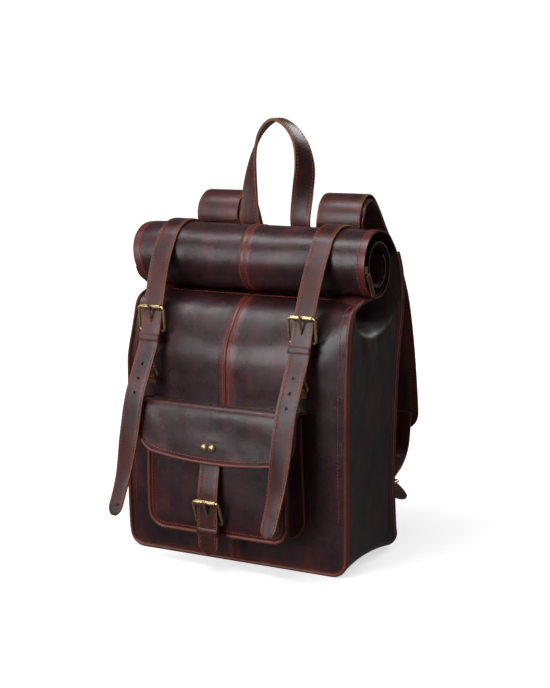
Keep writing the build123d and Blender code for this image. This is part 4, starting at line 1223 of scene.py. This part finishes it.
SHOULDER_SIDE = [
    (60.5, 367), (52, 378.4), (43.5, 388), (38.6, 398), (39.2, 409), (45.5, 421.5), (57, 428.5), (70, 427),
    (84, 412), (100, 388), (119, 361), (137, 334), (148, 306), (153, 280), (156, 240), (156, 205), (154, 165),
    (150.5, 130),
]
SHOULDER_X = 82
SHOULDER_WIDTH = 62
SHOULDER_THICK = 11
SHOULDER_TIP = 26
SEWN_SHARE = 0.42
SEWN_END = 46
PAD_START = 38
LAYER_WIDTH = 57
LAYER_THICK = 2.2


def shoulder_path():
    """The strap's line, which leans outwards once it is over its crest."""
    line = even(dense_curve(SHOULDER_SIDE, 10), 4)
    z = line[:, 1]
    crest = int(np.argmax(z))
    x = SHOULDER_X + 30 * (440 - z) / 312
    x[:crest] += (SHOULDER_X - x[:crest]) * smoothstep((425 - z[:crest]) / 40)
    path = np.column_stack([x, line])
    s = lengths(path)
    fine = s[-1] - SHOULDER_TIP * (1 - np.sin(np.linspace(0, math.pi / 2, 9)))
    return at_lengths(path, np.concatenate([s[s < s[-1] - SHOULDER_TIP], fine]))


def make_shoulder_strap(name, sign):
    """Its flat sewn end, its padded run with a round tip, and a second layer on its outer face."""
    path = shoulder_path() * (sign, 1, 1)
    s = lengths(path)
    near = np.clip((s[-1] - s) / SHOULDER_TIP, 0, 1)
    scale = np.clip(1 - (1 - near) ** 2.6, 0.02, 1) ** (1 / 2.6)
    plump = SEWN_SHARE + (1 - SEWN_SHARE) * smoothstep((s - 28) / 30)
    plump = plump * np.clip(1 - (1 - near) ** 2, 0.35, 1) ** 0.5
    section, cut_runs = pad_section(SHOULDER_WIDTH, SHOULDER_THICK)
    sewn = s < SEWN_END
    end = Piece(f"shoulder_sewn_end_{name}", STRAP_LEATHER, DARK_EDGE, THREAD)
    frame_at = add_strap(end, path[sewn], SIDEWAYS, section, cut_runs, lift=plump[sewn])
    add_edge_stitches(end, path[sewn], frame_at, SHOULDER_WIDTH, SHOULDER_THICK * SEWN_SHARE, first=4, last=2)
    end = end.make(None, "shoulder_strap_ends")
    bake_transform(end)

    free = s >= PAD_START
    path, s, scale, plump = path[free], s[free], scale[free], plump[free]
    tuck = smoothstep((s - PAD_START) / 12)
    pad = Piece(f"shoulder_strap_{name}", STRAP_LEATHER, DARK_EDGE, THREAD)
    narrowed, thinned = scale * (0.96 + 0.04 * tuck), plump * (0.7 + 0.3 * tuck)
    side, normal = add_strap(pad, path, SIDEWAYS, section, cut_runs, scale=narrowed, lift=thinned)
    keep = (s > 50) & (s < s[-1] - 4)
    for edge in (-1, 1):
        row = path + side * edge * 27.6 * scale[:, None]
        for face in (-1, 1):
            lifted = row + normal * face * (1.75 * plump)[:, None]
            add_stitches(pad, lifted[keep], (normal * face)[keep], 2, 4.2, 2.9, 0.38)
    pad = pad.make(f"shoulder_{name}", f"shoulder_strap_{name}")

    layer = Piece(f"shoulder_layer_{name}")
    last = np.argmax((s > 150) & (path[:, 2] < 236))
    over = path[:last] + normal[:last] * (SHOULDER_THICK / 2 * plump[:last] + 0.9)[:, None]
    sewn_strap(layer, over, SIDEWAYS, LAYER_WIDTH, LAYER_THICK, 4, 4)
    layer.make(f"shoulder_{name}", slot=f"shoulder_strap_{name}")


LOWER_BAR = (97, 78.6)
LOWER_X = 121
LOWER_WIDTH = 25
LOWER_THICK = 3.0
TAB_WIDTH = 28
TAB_THICK = 2.6


def make_lower_strap(name, sign):
    """From the pad down to its buckle, round the bar and back to a free tip, and the tab on the bag."""
    line = np.vstack([
        dense_curve([(146.5, 156), (145.2, 138), (139.5, 112), (124, 94.5), (100, 83.2)], 8)[:-1],
        arc(LOWER_BAR, 3.5, 100, 260, 20),
        dense_curve([(99, 74.6), (111, 68.6), (128, 57), (145, 42)], 8)[1:],
    ])
    path = tip_path(even(at_x(line, sign * LOWER_X), 1.8), LOWER_WIDTH)
    total = lengths(path)[-1]
    section, cut_runs = strap_section(LOWER_WIDTH, LOWER_THICK)
    strap = Piece(f"lower_strap_{name}")
    frame_at = add_strap(strap, path, SIDEWAYS, section, cut_runs, scale=round_tip(path, LOWER_WIDTH))
    for first, last, face in ((4, total - 66, 1), (total - 50, 11, -1)):
        add_edge_stitches(strap, path, frame_at, LOWER_WIDTH, LOWER_THICK, first, last, face=face)
    strap.make(f"shoulder_{name}", f"lower_strap_{name}")

    path = curve(at_x([(60.2, 117), (60.6, 104), (64, 95), (74, 84.5)], sign * LOWER_X), 2)
    tab = Piece(f"lower_strap_tab_{name}")
    sewn_strap(tab, path, SIDEWAYS, TAB_WIDTH, TAB_THICK, 3, 3)
    tab.make("root", "lower_strap_tabs")


make_handle()
for name, sign in (("left", -1), ("right", 1)):
    make_shoulder_strap(name, sign)
    make_lower_strap(name, sign)

# ---------------------------------------------------------------- zip, foam pad and the metal parts


def make_foam_pad():
    line = dense_curve([(58.5, 20), (47.5, 95), (50.5, 225), (61, 280)], 16)
    u = np.linspace(-1, 1, 50)
    surface = across(line, u * 119)
    along = lengths(line)[:, None] / lengths(line)[-1]
    quilt = np.abs(np.cos(u * 1.5 * math.pi)) ** 0.5 * np.abs(np.sin(along * 4 * math.pi)) ** 0.5
    edge = smoothstep((1 - np.abs(u)) * 12) * smoothstep(along * 20) * smoothstep((1 - along) * 20)
    surface[..., 1] -= (0.5 + 2.4 * quilt) * edge
    pad = Piece("back_foam_pad", LINING, DARK_EDGE)
    add_shell(pad, surface, 3, (0, 1, 0))
    pad.make("root", "back_foam_pad")


ZIP_TEETH = 118
TOOTH_PITCH = 2.5
PULL_X = 159.4
PULL_WIDTH = 8
TOOTH_FACES = [(0, 1, 3, 2), (4, 6, 7, 5), (0, 4, 5, 1), (2, 3, 7, 6), (0, 2, 6, 4), (1, 5, 7, 3)]


def make_zip():
    tape = Piece("mouth_zip_tape", LINING, DARK_EDGE, BRASS)
    line = arc((ROLL_Y, ROLL_Z), 33.2, 150, 210, 4)
    add_shell(tape, across(line, np.linspace(-150, 150, 60)), 0.8, (0, 1, 0))
    tooth = np.array([(a, b, c) for a in (-0.8, 0.8) for b in (-0.8, 0.8) for c in (-2, 2)])
    for k in range(ZIP_TEETH):
        stagger = -0.7 if k % 2 == 0 else 0.7
        tape.add(tooth + (-148 + k * TOOTH_PITCH, ROLL_Y - 34.0, ROLL_Z + stagger), TOOTH_FACES, 2)
    tape.make("root", "mouth_zip_tape")

    pull = Piece("zip_pull")
    path = tip_path(even(at_x([(-43.2, 352.5), (-36, 341), (-27.5, 326)], PULL_X), 1.5), PULL_WIDTH)
    top = mirrored([(-4, 0.6), (-3.4, 1), (0, 1)])
    section = np.array(top + [(a, -b) for a, b in reversed(top)])
    add_strap(pull, path, (0, 0.86, 0.5), section, {4, 9}, scale=round_tip(path, PULL_WIDTH))
    pull.make("pull", "zip_pull")


make_foam_pad()
make_zip()

METAL = ["pocket_buckle_frame", "pocket_buckle_roller", "pocket_buckle_prong"]
METAL += ["magnet_stud", "magnet_socket", "zip_slider"]
PAIRED_METAL = ["buckle_frame", "buckle_roller", "buckle_prong", "hook_eye", "snap_hook", "hook_gate"]
PAIRED_METAL += ["d_ring", "lower_buckle"]
METAL += [f"{part}_{side}" for side in ("left", "right") for part in PAIRED_METAL]
for name in METAL:
    node = bpy.data.objects[name]
    node.data.materials.clear()
    node.data.materials.append(BRASS)

# ---------------------------------------------------------------- place, light and camera

AZIMUTH = 28.409
ELEVATION = 9.243
TARGET = Vector((0.016, 0.0, 0.2558))
DISTANCE = 1.825
LENS = 78.72
SENSOR_WIDTH = 36


def make_floor():
    """A white sweep, which lights nothing and only takes the bag's soft shadow."""
    material, tree, shader = new_material("studio_floor")
    paper = remap(tree, object_noise(tree, 3), 0.3, 0.7, 0.88, 0.9)
    shade = tree.nodes.new("ShaderNodeCombineColor")
    for channel in ("Red", "Green", "Blue"):
        tree.links.new(paper, shade.inputs[channel])
    tree.links.new(shade.outputs["Color"], shader.inputs["Base Color"])
    shader.inputs["Roughness"].default_value = 0.9
    shader.inputs["Specular IOR Level"].default_value = 0.1
    shader.inputs["Emission Color"].default_value = (1, 1, 1, 1)
    coords = tree.nodes.new("ShaderNodeTexCoord")
    away = tree.nodes.new("ShaderNodeVectorMath")
    away.operation = "LENGTH"
    tree.links.new(coords.outputs["Object"], away.inputs[0])
    glow = remap(tree, away.outputs["Value"], 0.35, 1.3, 0.62, 1.0)
    tree.links.new(glow, shader.inputs["Emission Strength"])
    bpy.ops.mesh.primitive_plane_add(size=40, location=(0, 0, 0))
    floor = bpy.context.active_object
    floor.name = "studio_floor"
    floor.data.materials.append(material)
    floor.visible_diffuse = False
    floor.visible_glossy = False


def area_light(name, place, aim, size, power, colour=(1, 1, 1)):
    light = bpy.data.lights.new(name, "AREA")
    light.shape = "RECTANGLE"
    light.size, light.size_y = size
    light.energy = power
    light.color = colour
    lamp = bpy.data.objects.new(name, light)
    lamp.location = place
    lamp.rotation_euler = (Vector(aim) - Vector(place)).to_track_quat("-Z", "Y").to_euler()
    bpy.context.scene.collection.objects.link(lamp)


def make_world():
    """White to the eye, but a dim room for the leather to reflect."""
    world = bpy.data.worlds.new("studio")
    world.use_nodes = True
    tree = world.node_tree
    room = tree.nodes["Background"]
    room.inputs["Color"].default_value = (0.97, 0.97, 1.0, 1)
    room.inputs["Strength"].default_value = 0.10
    backdrop = tree.nodes.new("ShaderNodeBackground")
    backdrop.inputs["Color"].default_value = (1, 1, 1, 1)
    backdrop.inputs["Strength"].default_value = 1.05
    seen = tree.nodes.new("ShaderNodeLightPath")
    choice = tree.nodes.new("ShaderNodeMixShader")
    tree.links.new(seen.outputs["Is Camera Ray"], choice.inputs["Fac"])
    tree.links.new(room.outputs["Background"], choice.inputs[1])
    tree.links.new(backdrop.outputs["Background"], choice.inputs[2])
    tree.links.new(choice.outputs["Shader"], tree.nodes["World Output"].inputs["Surface"])
    bpy.context.scene.world = world


def make_camera():
    a, e = math.radians(AZIMUTH), math.radians(ELEVATION)
    back = Vector((math.sin(a) * math.cos(e), -math.cos(a) * math.cos(e), math.sin(e)))
    lens = bpy.data.cameras.new("camera")
    lens.lens = LENS
    lens.sensor_width = SENSOR_WIDTH
    lens.sensor_fit = "AUTO"
    camera = bpy.data.objects.new("camera", lens)
    camera.location = TARGET + back * DISTANCE
    camera.rotation_euler = back.to_track_quat("Z", "Y").to_euler()
    bpy.context.scene.collection.objects.link(camera)
    bpy.context.scene.camera = camera


make_floor()
make_world()
area_light("key_front", (-0.6, -2.1, 0.8), (0, 0, 0.25), (0.9, 1.2), 21, (0.98, 0.97, 1.0))
area_light("fill_left", (-2.0, -1.0, 1.0), (0, 0, 0.25), (1.0, 1.2), 9, (0.98, 0.97, 1.0))
area_light("top_band", (-0.3, -0.7, 2.0), (0, 0, 0.3), (1.6, 0.45), 17, (0.98, 0.97, 1.0))
area_light("rim_back", (0.6, 1.9, 1.5), (0, 0, 0.35), (1.4, 0.8), 16)
make_camera()
bpy.context.scene.view_settings.view_transform = "Standard"
